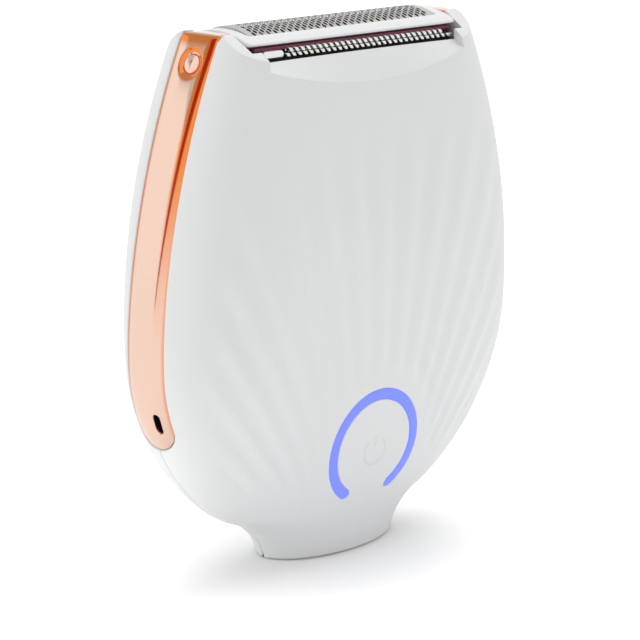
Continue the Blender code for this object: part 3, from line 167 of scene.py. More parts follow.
# Head
FRAME_HALF = (25.5, 8.2)
FRAME_WINDOW = (22.95, 5.4)
FRAME_ROUND = 1.5
WINDOW_ROUND = 0.7
FRAME_CROWN = 95.6
FRAME_DROP = 1.9
RAIL_Z = 93.35
RAIL_LIP = 0.4
SKIRT_HALF_WIDTH = 6.9
SKIRT_WALL = 1.05
SKIRT_Z = 86.6
SKIRT_PAINTED_SHADE_TOP = 91.9
TOOTH_PITCH = 1.36
TOOTH_ROOT = 7.5
TOOTH_LEAN = 0.45
TOOTH_WIDTH = 1.0
TOOTH_ROUND = 0.2
TOOTH_TAPER = 0.22
TOOTH_THIN = 0.3
FOIL_HALF_WIDTH = 5.6
FOIL_EDGE_Z = 94.4
FOIL_RIDGE_Z = 96.0
FOIL_HOLE = (0.74, 1.26)
FOIL_END = 22.75
FOIL_PITCH = 1.65
FOIL_ROW = 1.4
FOIL_COLUMNS = 26
FOIL_CELLS = 8
FOIL_THICKNESS = 0.06
FOIL_SKIRTS = (1.2, 1.5)


# Curves of the body

def bezier(points, steps=240):
    """Points along one cubic curve."""
    a, b, c, d = (np.array(p, float) for p in points)
    t = np.linspace(0, 1, steps + 1)[:, None]
    s = 1 - t
    return a * s ** 3 + 3 * b * s * s * t + 3 * c * s * t * t + d * t ** 3


def run_along(line):
    """Distance of each point of a line from its start, along the line."""
    return np.concatenate([[0], np.cumsum(np.linalg.norm(np.diff(line, axis=0), axis=1))])


def read_off(line, run, at):
    """Points of a line at distances along it."""
    return np.stack([np.interp(at, run, line[:, k]) for k in range(line.shape[1])], -1)


def side_outline():
    """Half outline seen from the front as (half width, height), foot to shoulder top."""
    flare, pull = np.array(FLARE), np.array(FLARE_PULL)
    bowl, reach = np.array(BOWL), np.array(BOWL_PULL)
    shoulder, lean = np.array(SHOULDER), np.array(SHOULDER_PULL)
    turn = atan(SHOULDER_SLOPE)
    centre_z = BODY_TOP - CORNER_RADIUS
    side = SHOULDER[0] - SHOULDER_SLOPE * (centre_z - SHOULDER[1])
    centre = np.array((side - CORNER_RADIUS / cos(turn), centre_z))
    turns = np.linspace(turn, pi / 2, 40)[:, None]
    corner = centre + CORNER_RADIUS * np.hstack([np.cos(turns), np.sin(turns)])
    return np.vstack([
        bezier((FOOT, FOOT, flare - pull, flare)),
        bezier((flare, flare + pull, bowl - reach, bowl))[1:],
        bezier((bowl, bowl + reach, shoulder + lean, shoulder))[1:],
        corner,
    ])


def depth_outline():
    """Half depth as (half depth, height), foot to shoulder and a little past it."""
    foot, rise = np.array(FOOT_DEPTH), np.array(FOOT_DEPTH_PULL)
    belly, shoulder = np.array(BELLY_DEPTH), np.array(SHOULDER_DEPTH)
    lean = np.array((SHOULDER_DRAFT, -1)) * BELLY_PULL_UP
    low = bezier((foot, foot + rise, belly - (0, BELLY_PULL_DOWN), belly))
    high = bezier((belly, belly + (0, BELLY_PULL_UP), shoulder + lean, shoulder))[1:]
    beyond = shoulder - lean
    return np.vstack([low, high, [beyond]])


OUTLINE = side_outline()
DEPTHS = depth_outline()
OUTLINE_RUN = run_along(OUTLINE)
TRIM_RUN = np.interp(TRIM_START, OUTLINE[:, 1], OUTLINE_RUN)


def width(z):
    return np.interp(z, OUTLINE[:, 1], OUTLINE[:, 0])


def depth(z):
    return np.interp(z, DEPTHS[:, 1], DEPTHS[:, 0])


def squareness(z):
    rise = np.maximum(np.asarray(z) / SHOULDER[1], 0) ** SQUARENESS_BIAS
    return FOOT_SQUARENESS + (SHOULDER_SQUARENESS - FOOT_SQUARENESS) * rise


def face_depth(x, z):
    """Depth of the body's face at places in the front view."""
    n = squareness(z)
    share = np.minimum(np.abs(x) / width(z), 1)
    return depth(z) * (1 - share ** n) ** (1 / n)


def side_drop(y, z):
    """How far the side falls back from its middle line."""
    n = squareness(z)
    share = np.minimum(np.abs(y) / depth(z), 1)
    return width(z) * (1 - (1 - share ** n) ** (1 / n))


def smooth_step(low, high, value):
    t = np.clip((value - low) / (high - low), 0, 1)
    return t * t * (3 - 2 * t)


def round_half(radius, inward):
    """Half width of a round end, or height of a rounded edge, at a distance inwards from its start."""
    return np.sqrt(np.maximum(radius ** 2 - np.maximum(radius - inward, 0) ** 2, 0))


def section_line(z, clear, side):
    """Fine line round one half of a level section, left to right, clear of the middle plane."""
    n, w, d = squareness(z), width(z), depth(z)
    turn = 0.5 ** (1 / n)
    y = np.linspace(clear, d * turn, 60)[:-1]
    x = w * (1 - (y / d) ** n) ** (1 / n)
    front = np.linspace(-w * turn, w * turn, 241)
    deep = d * (1 - np.abs(front / w) ** n) ** (1 / n)
    xs = np.concatenate([-x, front, x[::-1]])
    ys = side * np.concatenate([y, deep, y[::-1]])
    return np.stack([xs, ys, np.full_like(xs, z)], 1)


def along(line, shares, inset=0.0):
    """Points at shares -1 to 1 of a line's length, kept off its ends by an inset."""
    run = run_along(line)
    return read_off(line, run, inset + (run[-1] - 2 * inset) * (1 + np.asarray(shares)) / 2)


# Bench: sheets and pieces made with Blender's own operators

def pick(obj):
    """Select one piece alone."""
    bpy.ops.object.select_all(action="DESELECT")
    obj.select_set(True)
    bpy.context.view_layer.objects.active = obj


def mode(kind):
    bpy.ops.object.mode_set(mode=kind)


def named(name):
    """Give the piece that an operator just made its name."""
    obj = bpy.context.object
    obj.name = obj.data.name = name
    return obj


def grid(name, columns, rows, size=1):
    bpy.ops.object.select_all(action="DESELECT")
    bpy.ops.mesh.primitive_grid_add(x_subdivisions=columns, y_subdivisions=rows, size=size)
    return named(name)


def sheet(name, points, recalc=False):
    """Welded grid whose vertices are set to rows of points; it faces along (columns x rows)."""
    rows, columns, _ = points.shape
    obj = grid(name, columns - 1, rows - 1)
    obj.data.vertices.foreach_set("co", (points * MM).astype(np.float32).ravel())
    obj.data.update()
    return weld(obj, recalc)


def weld(obj, recalc=False, gap=1e-6):
    """Join seams and poles and drop empty faces; a closed piece is also turned to face outwards."""
    pick(obj)
    mode("EDIT")
    bpy.ops.mesh.select_all(action="SELECT")
    bpy.ops.mesh.remove_doubles(threshold=gap)
    bpy.ops.mesh.dissolve_degenerate(threshold=gap)
    if recalc:
        bpy.ops.mesh.select_all(action="SELECT")
        bpy.ops.mesh.normals_make_consistent(inside=False)
    mode("OBJECT")
    return obj


def modify(obj, kind, **settings):
    """Add one modifier and apply it."""
    pick(obj)
    modifier = obj.modifiers.new(kind.lower(), kind)
    for key, value in settings.items():
        setattr(modifier, key, value)
    bpy.ops.object.modifier_apply(modifier=modifier.name)
    return obj


def smooth(obj, angle=40):
    pick(obj)
    bpy.ops.object.shade_smooth_by_angle(angle=radians(angle))


def repeat(obj, count, step, **merge):
    """Row of copies of a piece, a step apart."""
    return modify(obj, "ARRAY", count=count, use_relative_offset=False, use_constant_offset=True,
                  constant_offset_displace=step, **merge)


def join(name, pieces):
    """Join bench pieces into one."""
    bpy.ops.object.select_all(action="DESELECT")
    for obj in pieces:
        obj.select_set(True)
    bpy.context.view_layer.objects.active = pieces[0]
    if len(pieces) > 1:
        bpy.ops.object.join()
    return named(name)


def settle(obj):
    """Bake a bench piece's place into its mesh and bring it from millimetres to metres."""
    obj.data.transform(Matrix.Scale(MM, 4) @ obj.matrix_world)
    obj.matrix_world = Matrix.Identity(4)


def copy_of(obj, name, matrix):
    """Copy of a finished piece with its own mesh, turned by a matrix in metres."""
    twin = obj.copy()
    twin.data = obj.data.copy()
    twin.name = twin.data.name = name
    bpy.context.scene.collection.objects.link(twin)
    twin.data.transform(matrix)
    return twin


def face_towards(obj, direction):
    """Turn a sheet over if it faces away from a direction."""
    if sum(face.normal.dot(Vector(direction)) for face in obj.data.polygons) < 0:
        obj.data.flip_normals()


def select_where(obj, kind, test):
    """Select the faces or edges whose middle passes a test, in edit mode afterwards."""
    pick(obj)
    mesh = obj.data
    mode("EDIT")
    bpy.ops.mesh.select_mode(type=kind)
    bpy.ops.mesh.select_all(action="DESELECT")
    mode("OBJECT")
    places = [v.co.copy() for v in mesh.vertices]
    for item in (mesh.polygons if kind == "FACE" else mesh.edges):
        middle = sum((places[i] for i in item.vertices), Vector()) / len(item.vertices)
        item.select = bool(test(middle, item))
    mode("EDIT")


def dress(obj, body, slot, material, *nodes):
    """Give a finished piece its material and its body, and hide the CAD nodes that it stands for."""
    obj.data.materials.clear()
    obj.data.materials.append(material)
    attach(obj, body)
    if nodes:
        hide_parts(*nodes)


def rounded_chain(corners, radii, steps=4):
    """Rows of points along a chain of corner rows, with the named corners rounded off."""
    corners = [np.asarray(c, float) for c in corners]
    rows = []
    for i, here in enumerate(corners):
        if i not in radii:
            rows.append(here)
            continue
        into, out = here - corners[i - 1], corners[(i + 1) % len(corners)] - here
        long_in = np.linalg.norm(into, axis=-1, keepdims=True)
        long_out = np.linalg.norm(out, axis=-1, keepdims=True)
        into = into / np.maximum(long_in, 1e-9)
        out = out / np.maximum(long_out, 1e-9)
        turn = np.arccos(np.clip((into * out).sum(-1, keepdims=True), -1, 1))
        most = 0.45 * np.minimum(long_in, long_out)
        reach = np.minimum(radii[i] * np.tan(np.minimum(turn, 2.6) / 2), most)
        start, end = here - into * reach, here + out * reach
        for t in np.linspace(0, 1, steps + 1):
            rows.append(start * (1 - t) ** 2 + here * 2 * t * (1 - t) + end * t * t)
    return np.stack(rows)


def punch(obj, place, radius, deep=3.0):
    """Cut a hole through a sheet: drop the faces inside an outline and draw the rim onto it."""
    mesh = obj.data
    back = place.inverted()
    local = [back @ (v.co / MM) for v in mesh.vertices]

    def inside(p):
        return abs(p.z) < deep and hypot(p.x, p.y) < radius(atan2(p.y, p.x))

    gone, kept, drop, rim = set(), set(), [], {}
    for face in mesh.polygons:
        drop.append(inside(sum((local[i] for i in face.vertices), Vector()) / len(face.vertices)))
        (gone if drop[-1] else kept).update(face.vertices)
    axis = (place.to_3x3() @ Vector((0, 0, -1))).normalized()
    for i in gone & kept:
        turn = atan2(local[i].y, local[i].x)
        r = radius(turn)
        start = place @ Vector((r * cos(turn), r * sin(turn), deep))
        hit, spot, _, _ = obj.ray_cast(start * MM, axis)
        rim[i] = spot if hit else mesh.vertices[i].co.copy()
    for i, spot in rim.items():
        mesh.vertices[i].co = spot
    select_where(obj, "FACE", lambda middle, face: drop[face.index])
    bpy.ops.mesh.delete(type="FACE")
    mode("OBJECT")


def line_rim(obj, place, rings, reach):
    """Lead a punched hole's rim inwards through rings of (scale, depth) about the hole's axis."""
    back = place.inverted()

    def on_rim(middle, edge):
        p = back @ (middle / MM)
        return edge.index in open_edges and hypot(p.x, p.y) < reach and abs(p.z) < 2

    count = {}
    for face in obj.data.polygons:
        for key in face.edge_keys:
            count[key] = count.get(key, 0) + 1
    open_edges = {e.index for e in obj.data.edges if count.get(tuple(sorted(e.vertices)), 0) == 1}
    select_where(obj, "EDGE", on_rim)
    turn = place.to_3x3().to_4x4()
    centre = place.translation * MM
    for scale, sink in rings:
        move = turn @ Vector((0, 0, -sink * MM))
        bpy.ops.mesh.extrude_edges_move(TRANSFORM_OT_translate={"value": move})
        bpy.ops.transform.resize(value=(scale, scale, scale), center_override=centre)
    mode("OBJECT")


# Places shared by several pieces

def aim(point, direction):
    """Matrix that puts Z along a direction at a point, with Y kept where it can be."""
    z = Vector(direction).normalized()
    y = Vector((0, 1, 0)) if abs(z.y) < 0.9 else Vector((0, 0, 1))
    x = y.cross(z).normalized()
    return Matrix.Translation(Vector(point)) @ Matrix((x, z.cross(x), z)).transposed().to_4x4()


def side_place(z, offset, side):
    """Place on a side's face at a height and an offset towards the front, looking out."""
    slope = float(width(z - 0.5) - width(z + 0.5))
    out = Vector((side, 0, slope)).normalized()
    point = Vector((side * float(width(z)), 0, z)) - out * float(side_drop(offset, z))
    point.y = -offset
    return aim(point, out)


def ring_place():
    out = Vector((0, -cos(RING_LEAN), -sin(RING_LEAN)))
    up = Vector((0, -sin(RING_LEAN), cos(RING_LEAN)))
    point = Vector((0, -float(face_depth(0, RING_CENTRE_Z)), RING_CENTRE_Z))
    return Matrix.Translation(point) @ Matrix((up.cross(out), up, out)).transposed().to_4x4()


RING = ring_place()
RING_X, RING_UP, RING_OUT = (np.array(RING.col[k].xyz) for k in range(3))


def on_face(p, q):
    """Points of the front face seen along the ring's axis at p to the right and q up."""
    base = np.array(RING.translation) + p[..., None] * RING_X + q[..., None] * RING_UP
    lift = np.zeros_like(p)
    for _ in range(12):
        spot = base + lift[..., None] * RING_OUT
        lift = lift + (-face_depth(spot[..., 0], spot[..., 2]) - spot[..., 1]) / RING_OUT[1]
    return base + lift[..., None] * RING_OUT


# Shells

def trim_clear(z):
    """Half depth at which a shell stops at a height: at the parting line, or at the trim's edge."""
    run = np.interp(z, OUTLINE[:, 1], OUTLINE_RUN) - TRIM_RUN + TRIM_GAP
    return PARTING if run <= 0 else max(round_half(TRIM_REACH, run), PARTING)


def face_at(share, z, side):
    """Point or points of a shell's face at one height."""
    return along(section_line(z, trim_clear(z), side), share, EDGE_ROUND)


def face_through(shares, heights, side):
    """Row of points over a shell's face, each at its own height."""
    return np.stack([face_at(s, z, side) for s, z in zip(shares, heights)])


def lip_height(x, y):
    t = x / LIP_HALF
    inner = LIP_INNER_Z + LIP_INNER_RISE * t * t
    return inner - (LIP_SLOPE - LIP_SLOPE_FALL * t * t) * (abs(y) - WELL_HALF_WIDTH)


def facet_height(y):
    return min(BODY_TOP - FACET_SLOPE * (abs(y) - FACET_START), BODY_TOP)


def bisect(low, high, below):
    """Place between two numbers up to which a test holds."""
    for _ in range(30):
        middle = (low + high) / 2
        low, high = (middle, high) if below(middle) else (low, middle)
    return (low + high) / 2


def top_height(share, side, on_lip):
    """Height at which a column of the face meets the lip or the facet."""
    def below(z):
        x, y, _ = face_at(share, z, side)
        return z < (lip_height(x, y) if on_lip else facet_height(y))

    return bisect(WELL_FLOOR, BODY_TOP, below)


def share_for(x, side, on_lip):
    """Column share whose top end lies at a place along X."""
    return bisect(0.0, 1.0, lambda share: face_at(share, top_height(share, side, on_lip), side)[0] < x)


def flute_sink(points):
    """Depth of the flutes at points of the front face."""
    x, z = points[..., 0], points[..., 2]
    turn = np.degrees(np.arctan2(x, z + FAN_DROP))
    wave = (1 - np.cos(2 * pi * turn / FLUTE_PITCH_DEG)) / 2
    wave = np.where(np.abs(turn) > FLUTE_PITCH_DEG * FLUTE_COUNT / 2, 0, wave)
    rise = smooth_step(*FLUTE_RISE, z) * (1 - smooth_step(*FLUTE_FADE, z))
    edge = 1 - smooth_step(*FLUTE_EDGE, np.abs(x) / width(z))
    ring = smooth_step(*FLUTE_RING, np.hypot(x, z - RING_CENTRE_Z))
    return FLUTE_DEPTH * wave * rise * edge * ring


def ledge_places(rim):
    """Places along X where the columns of a shoulder facet meet the trim, closer together near its tip."""
    steps = np.linalg.norm(np.diff(rim, axis=0), axis=1)
    run = np.concatenate([np.cumsum(steps[::-1])[::-1], [0]])
    fade = 1 - np.exp(-run / FACET_FAN)
    tip, start = OUTLINE[-1, 0], WELL_HALF_LENGTH + STEP
    return tip - (tip - start) * fade / fade[0]


def shell_columns(side, count):
    """Shares of a shell's columns, and those where the lip ends, the well ends and the ledge starts."""
    lip_end = share_for(LIP_HALF - LIP_STEP, side, True)
    places = (LIP_HALF + LIP_STEP, WELL_HALF_LENGTH - STEP, WELL_HALF_LENGTH + STEP)
    facet_start, well_end, ledge_start = (share_for(x, side, False) for x in places)
    marks = np.array([lip_end, facet_start, well_end, ledge_start])
    even = [s for s in np.linspace(0, 1, count // 2 + 1)
            if np.abs(marks - s).min() > 0.004 and not well_end < s < ledge_start]
    right = np.array(sorted(even + list(marks)))
    return np.concatenate([-right[:0:-1], right]), lip_end, well_end, ledge_start


def face_rows(side, shares, tops):
    """Rows over a shell's face; in a band they bend at its edges to follow the trim's round end."""
    end_runs = TRIM_RUN - TRIM_GAP + TRIM_REACH * (1 - np.cos(np.linspace(0, pi / 2, 15)))
    end_rows = np.interp(end_runs, OUTLINE_RUN, OUTLINE[:, 1])
    edge_rows = np.concatenate([np.linspace(BAND_LOW, end_rows[0], 9)[:-1], end_rows,
                                np.linspace(end_rows[-1], BAND_HIGH, 8)[1:]])
    at_edge = smooth_step(*BAND_FADE, np.abs(shares))
    above = np.arange(*HIGH_ROWS)
    heights = [*np.arange(*FOOT_ROWS), *np.arange(*LOW_ROWS)]
    for even, edge in zip(np.linspace(BAND_LOW, BAND_HIGH, len(edge_rows)), edge_rows):
        heights.append(even + (edge - even) * at_edge)
    heights += [*above]
    heights += [above[-1] + (tops - FACE_STOP - above[-1]) * k for k in np.linspace(0.12, 1, 9)]
    return [face_through(shares, z, side) if np.ndim(z) else face_at(shares, z, side) for z in heights]


def shell_points(side, columns):
    """Rows of points over one shell: foot, face, lip and facets, and down into the head well."""
    shares, lip_end, well_end, ledge_start = shell_columns(side, columns)
    on_lip = np.abs(shares) <= lip_end + 1e-9
    in_well = np.abs(shares) <= well_end + 1e-9
    tops = np.array([top_height(s, side, lip) for s, lip in zip(shares, on_lip)])
    face = face_rows(side, shares, tops)
    rim = face_through(shares, tops, side)
    inner = rim.copy()
    inner[:, 1] = side * np.where(in_well, WELL_HALF_WIDTH, TRIM_REACH)
    ledge = ledge_places(rim[shares >= ledge_start - 1e-9])
    inner[~in_well, 0] = np.concatenate([-ledge[::-1], ledge])
    inner[:, 2] = [lip_height(x, y) if lip else facet_height(y) for (x, y, _), lip in zip(inner, on_lip)]
    floor = inner.copy()
    floor[:, 2] = np.where(np.abs(shares) <= ledge_start + 1e-9, WELL_FLOOR, inner[:, 2] - WALL_DEPTH)
    top = rounded_chain([face[-1], rim, (rim + inner) / 2, inner, floor], {1: LIP_ROUND, 3: WELL_ROUND})[1:]
    sole = face_at(shares, 0.0, side)
    keel = sole.copy()
    keel[:, 1] = side * PARTING
    foot = rounded_chain([keel, sole, face[0]], {1: SOLE_ROUND}, 7)[:-1]
    points = np.concatenate([foot, np.stack(face), top])
    normals = sheet_normals(points) * -side
    row = np.arange(len(points))
    in_face = ((row >= len(foot)) & (row < len(foot) + len(face)))[:, None]
    if side < 0:
        points = points - normals * (flute_sink(points) * in_face)[..., None]
    return with_edges(points, normals, side, in_face)


def sheet_normals(points):
    """Unit normals of a sheet of points, columns x rows."""
    normals = np.cross(np.gradient(points, axis=1), np.gradient(points, axis=0))
    return normals / np.maximum(np.linalg.norm(normals, axis=-1, keepdims=True), 1e-12)


def with_edges(points, normals, side, rolled):
    """Roll a shell's left and right edges over and lead them inwards, on the rolled rows."""
    def edge(last, before, normal):
        way = last - before
        long = np.linalg.norm(way, axis=-1, keepdims=True)
        way = np.where(long > 1e-4, way / np.maximum(long, 1e-9), np.array((0, -side, 0)))
        lines = []
        for turn in np.linspace(0, pi / 2, 4)[1:]:
            roll = way * sin(turn) - normal * (1 - cos(turn))
            lines.append(last + rolled * EDGE_ROUND * roll)
        lines.append(lines[-1] - rolled * normal * WALL_DEPTH)
        return lines
    left = edge(points[:, 0], points[:, 1], normals[:, 0])
    right = edge(points[:, -1], points[:, -2], normals[:, -1])
    columns = left[::-1] + [points[:, k] for k in range(points.shape[1])] + right
    return np.stack(columns, 1)


def build_shells():
    front = sheet("front_shell_skin", shell_points(-1, 190))
    punch(front, RING, lambda turn: RING_HOLE)
    line_rim(front, RING, [(1.0, WALL_DEPTH)], RING_HOLE + 0.6)
    smooth(front)
    dress(front, "housing", "white_plastic", WHITE, "front_shell")
    rear = sheet("rear_shell_skin", shell_points(1, 100)[:, ::-1])
    smooth(rear)
    dress(rear, "housing", "white_plastic", WHITE, "rear_shell")


def build_ring():
    """Light ring: an open C with round ends, flush in the front face."""
    length = RING_MIDDLE * (2 * pi - 2 * RING_HALF_GAP)
    ends = RING_HALF * (1 - np.cos(np.linspace(0, pi / 2, 9)))
    middle = np.linspace(RING_HALF, length - RING_HALF, 110)[1:-1]
    runs = np.concatenate([ends, middle, length - ends[::-1]])
    from_end = np.minimum(runs, length - runs)
    half = round_half(RING_HALF, from_end)
    turn = -pi / 2 + RING_HALF_GAP + runs / RING_MIDDLE
    across = np.array([-1, -0.97, -0.9, -0.75, -0.45, 0, 0.45, 0.75, 0.9, 0.97, 1])
    offset = half[:, None] * across
    rim = RING_HALF - np.hypot(np.maximum(RING_HALF - from_end, 0)[:, None], offset)
    sink = RING_EDGE - round_half(RING_EDGE, rim)
    radius = RING_MIDDLE + offset
    points = on_face(radius * np.cos(turn)[:, None], radius * np.sin(turn)[:, None])
    points = points - RING_OUT * sink[..., None]
    low = points[:, [0, -1]] - RING_OUT * RING_WALL
    points = np.concatenate([low[:, :1], points, low[:, 1:]], 1)
    ring = sheet("light_ring_lens", points[:, ::-1])
    smooth(ring, 50)
    dress(ring, "housing", "light_guide", LIGHT, "light_ring")


def build_key():
    """Power key: a disc with a neck through the ring's open end, and a raised power sign."""
    def half_neck(radius):
        back = np.clip(np.abs(radius - RING_MIDDLE), 0, RING_HALF)
        return RING_HALF_GAP + (RING_HALF - np.sqrt(RING_HALF ** 2 - back ** 2)) / RING_MIDDLE - 0.006

    spread = np.linspace(-1, 1, 17)
    widest = float(half_neck(KEY_RADIUS))
    disc = -pi / 2 + np.linspace(widest + 0.003, 2 * pi - widest - 0.003, 97)

    def ring_row(neck_radius, disc_radius, sink):
        turn = np.concatenate([-pi / 2 + spread * half_neck(neck_radius), disc])
        radius = np.concatenate([np.full(len(spread), neck_radius), np.full(len(disc), disc_radius)])
        drop = np.concatenate([np.zeros(len(spread)), np.full(len(disc), sink)])
        points = on_face(radius * np.cos(turn), radius * np.sin(turn)) - RING_OUT * drop[:, None]
        return np.vstack([points, points[:1]])

    flat = KEY_RADIUS - KEY_ROUND
    rows = [ring_row(flat * share, flat * share, 0) for share in np.linspace(0, 1, 15)]
    for k, share in enumerate(np.linspace(0, 1, 15)[1:]):
        lean = min(k + 1, 4) / 4 * pi / 2
        sink = KEY_ROUND * (1 - cos(lean)) + (RING_WALL if k > 3 else 0)
        rows.append(ring_row(flat + (RING_HOLE - flat) * share, flat + KEY_ROUND * sin(lean), sink))
    key = sheet("power_key_cap", np.stack(rows))
    face_towards(key, RING_OUT)
    smooth(key)
    dress(key, "power_button", "white_plastic", WHITE, "power_key")
    turn = np.linspace(*SIGN_ARC, 49)
    arc = SIGN_RADIUS * np.stack([np.cos(turn), np.sin(turn)], 1) - (0, SIGN_DROP)
    bar = np.stack([np.zeros(13), np.linspace(*SIGN_BAR, 13) - SIGN_DROP], 1)
    sign = join("power_sign", [raised_line("sign_arc", arc), raised_line("sign_bar", bar)])
    smooth(sign, 60)
    dress(sign, "power_button", "white_plastic", SIGN)


def raised_line(name, line, half=0.26, rise=0.06, sunk=0.02):
    """Low rounded ridge along a line drawn on the key."""
    way = np.gradient(line, axis=0)
    way /= np.linalg.norm(way, axis=1, keepdims=True)
    across = np.stack([way[:, 1], -way[:, 0]], 1)
    run = run_along(line)
    from_end = np.minimum(run, run[-1] - run)
    swell = round_half(1, from_end / half)
    columns = []
    for turn in np.linspace(0, pi, 9):
        spot = line + across * (half * swell * cos(turn))[:, None]
        lift = (rise * swell * sin(turn) - sunk)[:, None]
        columns.append(on_face(spot[:, 0], spot[:, 1]) + RING_OUT * lift)
    ridge = sheet(name, np.stack(columns, 1)[:, ::-1])
    face_towards(ridge, RING_OUT)
    return ridge


# Side trims and release domes

def trim_points(side):
    """Copper strip from its round foot end over the shoulder to the head."""
    over = np.array([[x, BODY_TOP] for x in np.linspace(OUTLINE[-1, 0], WELL_HALF_LENGTH, 6)[1:]])
    path = np.vstack([OUTLINE[OUTLINE[:, 1] > TRIM_START], over])
    path = np.vstack([[[float(width(TRIM_START)), TRIM_START]], path])
    run = run_along(path)
    end = TRIM_HALF * (1 - np.cos(np.linspace(0, pi / 2, 25)))
    corner = run[-1] - TRIM_FINE
    runs = np.concatenate([end, np.linspace(TRIM_HALF, corner, 90)[1:],
                           np.linspace(corner, run[-1], 80)[1:]])
    place = read_off(path, run, runs)
    ahead = read_off(path, run, np.minimum(runs + 0.4, run[-1]))
    behind = read_off(path, run, np.maximum(runs - 0.4, 0))
    way = (ahead - behind) / np.linalg.norm(ahead - behind, axis=1, keepdims=True)
    normal = np.stack([way[:, 1], -way[:, 0]], 1)
    back = np.maximum(TRIM_HALF - runs, 0)
    half = round_half(TRIM_HALF, runs)
    inner = np.array(TRIM_EDGE_ROWS) / TRIM_HALF
    share = np.concatenate([[-1], -1 + inner, np.linspace(-0.9, 0.9, 61), 1 - inner[::-1], [1]])
    y = half[:, None] * share
    rim = TRIM_HALF - np.hypot(back[:, None], y)
    crown = TRIM_CROWN * (np.maximum(TRIM_SOFT - rim, 0) / TRIM_SOFT) ** 2
    sink = TRIM_ROUND - round_half(TRIM_ROUND, rim) + crown
    height = np.minimum(place[:, 1], SHOULDER[1])[:, None]
    drop = side_drop(y, height) * np.abs(normal[:, :1]) + sink
    dish = np.hypot((runs - np.interp(RELEASE_Z, OUTLINE[:, 1], OUTLINE_RUN) + TRIM_RUN)[:, None], y)
    drop = drop + DISH_DEPTH * (1 - smooth_step(DOME_RADIUS - 0.1, DISH_RADIUS, dish))
    x = place[:, :1] - normal[:, :1] * drop
    z = place[:, 1:] - normal[:, 1:] * drop
    points = np.stack([side * x, y, z], -1)
    sunk = np.stack([side * normal[:, 0], np.zeros(len(runs)), normal[:, 1]], 1)[:, None] * WALL_DEPTH
    points = np.concatenate([points[:, :1] - sunk, points, points[:, -1:] - sunk], 1)
    last = points[-1:] - np.array((0, 0, WALL_DEPTH))
    points = np.concatenate([points, last])
    return points if side > 0 else points[:, ::-1]


def oval_radius(turn):
    """Edge of the charging slot in polar form, longer upwards."""
    c, s = abs(cos(turn)), abs(sin(turn))
    if s < 1e-9:
        return SLOT_HALF + SLOT_RADIUS
    flat = SLOT_RADIUS / s
    if flat * c <= SLOT_HALF:
        return flat
    return SLOT_HALF * c + sqrt(max(SLOT_RADIUS ** 2 - (SLOT_HALF * s) ** 2, 0))


def build_trims():
    for name, side in (("left", -1), ("right", 1)):
        strip = sheet(f"{name}_trim_strip", trim_points(side))
        place = side_place(RELEASE_Z, 0, side)
        punch(strip, place, lambda turn: DOME_RADIUS + DOME_GAP)
        line_rim(strip, place, [(1.0, WALL_DEPTH)], DOME_RADIUS + 0.4)
        if side < 0:
            slot = side_place(SLOT_Z, SLOT_OFFSET, side)
            punch(strip, slot, oval_radius)
            line_rim(strip, slot, [(0.96, 0.1), (0.97, 0.12), (1.0, 1.4)], 2.4)
        smooth(strip)
        dress(strip, "housing", "copper_chrome", COPPER, f"{name}_trim")
        dome = turned(f"{name}_release_dome", dome_profile(), place, 48)
        dress(dome, f"{name}_button", "button_copper", DOME, f"{name}_release_button")


def dome_profile():
    """Section of a release dome and its stem as (radius, height)."""
    stem = [(STEM_RADIUS, STEM_Z[0]), (STEM_RADIUS, STEM_Z[1]), (DOME_RADIUS, STEM_Z[1])]
    turns = np.linspace(0, pi / 2, 13)
    crown = [(DOME_RADIUS * cos(t), DOME_RISE * sin(t) - DOME_SINK) for t in turns]
    return stem + [(DOME_RADIUS, DOME_FOOT_Z)] + crown


def turned(name, profile, place, sides):
    """Piece turned about Z from (radius, height) points, set at a place."""
    turn = np.linspace(0, 2 * pi, sides + 1)
    rows = [np.stack([r * np.cos(turn), r * np.sin(turn), np.full(sides + 1, h)], 1) for r, h in profile]
    obj = sheet(name, np.stack(rows))
    obj.data.transform(Matrix.Scale(MM, 4) @ place @ Matrix.Scale(1 / MM, 4))
    smooth(obj)
    return obj


# Head

def rounded_loop(half_x, half_y, radius, long=36, short=16, arc=7):
    """Closed loop of points round a rectangle with round corners, the same count for any size."""
    x, y = half_x - radius, half_y - radius
    loop = []
    for cx, cy, start in ((x, -y, -90), (x, y, 0), (-x, y, 90), (-x, -y, 180)):
        turns = np.radians(np.linspace(start, start + 90, arc))
        loop.append(np.stack([cx + radius * np.cos(turns), cy + radius * np.sin(turns)], 1))
    sides = []
    for k, count in enumerate((short, long, short, long)):
        a, b = loop[k][-1], loop[(k + 1) % 4][0]
        sides.append(a + (b - a) * np.linspace(0, 1, count + 1)[1:-1, None])
    points = np.concatenate([part for pair in zip(loop, sides) for part in pair])
    return np.vstack([points, points[:1]])


def frame_top(y):
    return FRAME_CROWN - FRAME_DROP * (y / FRAME_HALF[1]) ** 2


def lifted(loop, z):
    return np.column_stack([loop, np.broadcast_to(z, len(loop))])


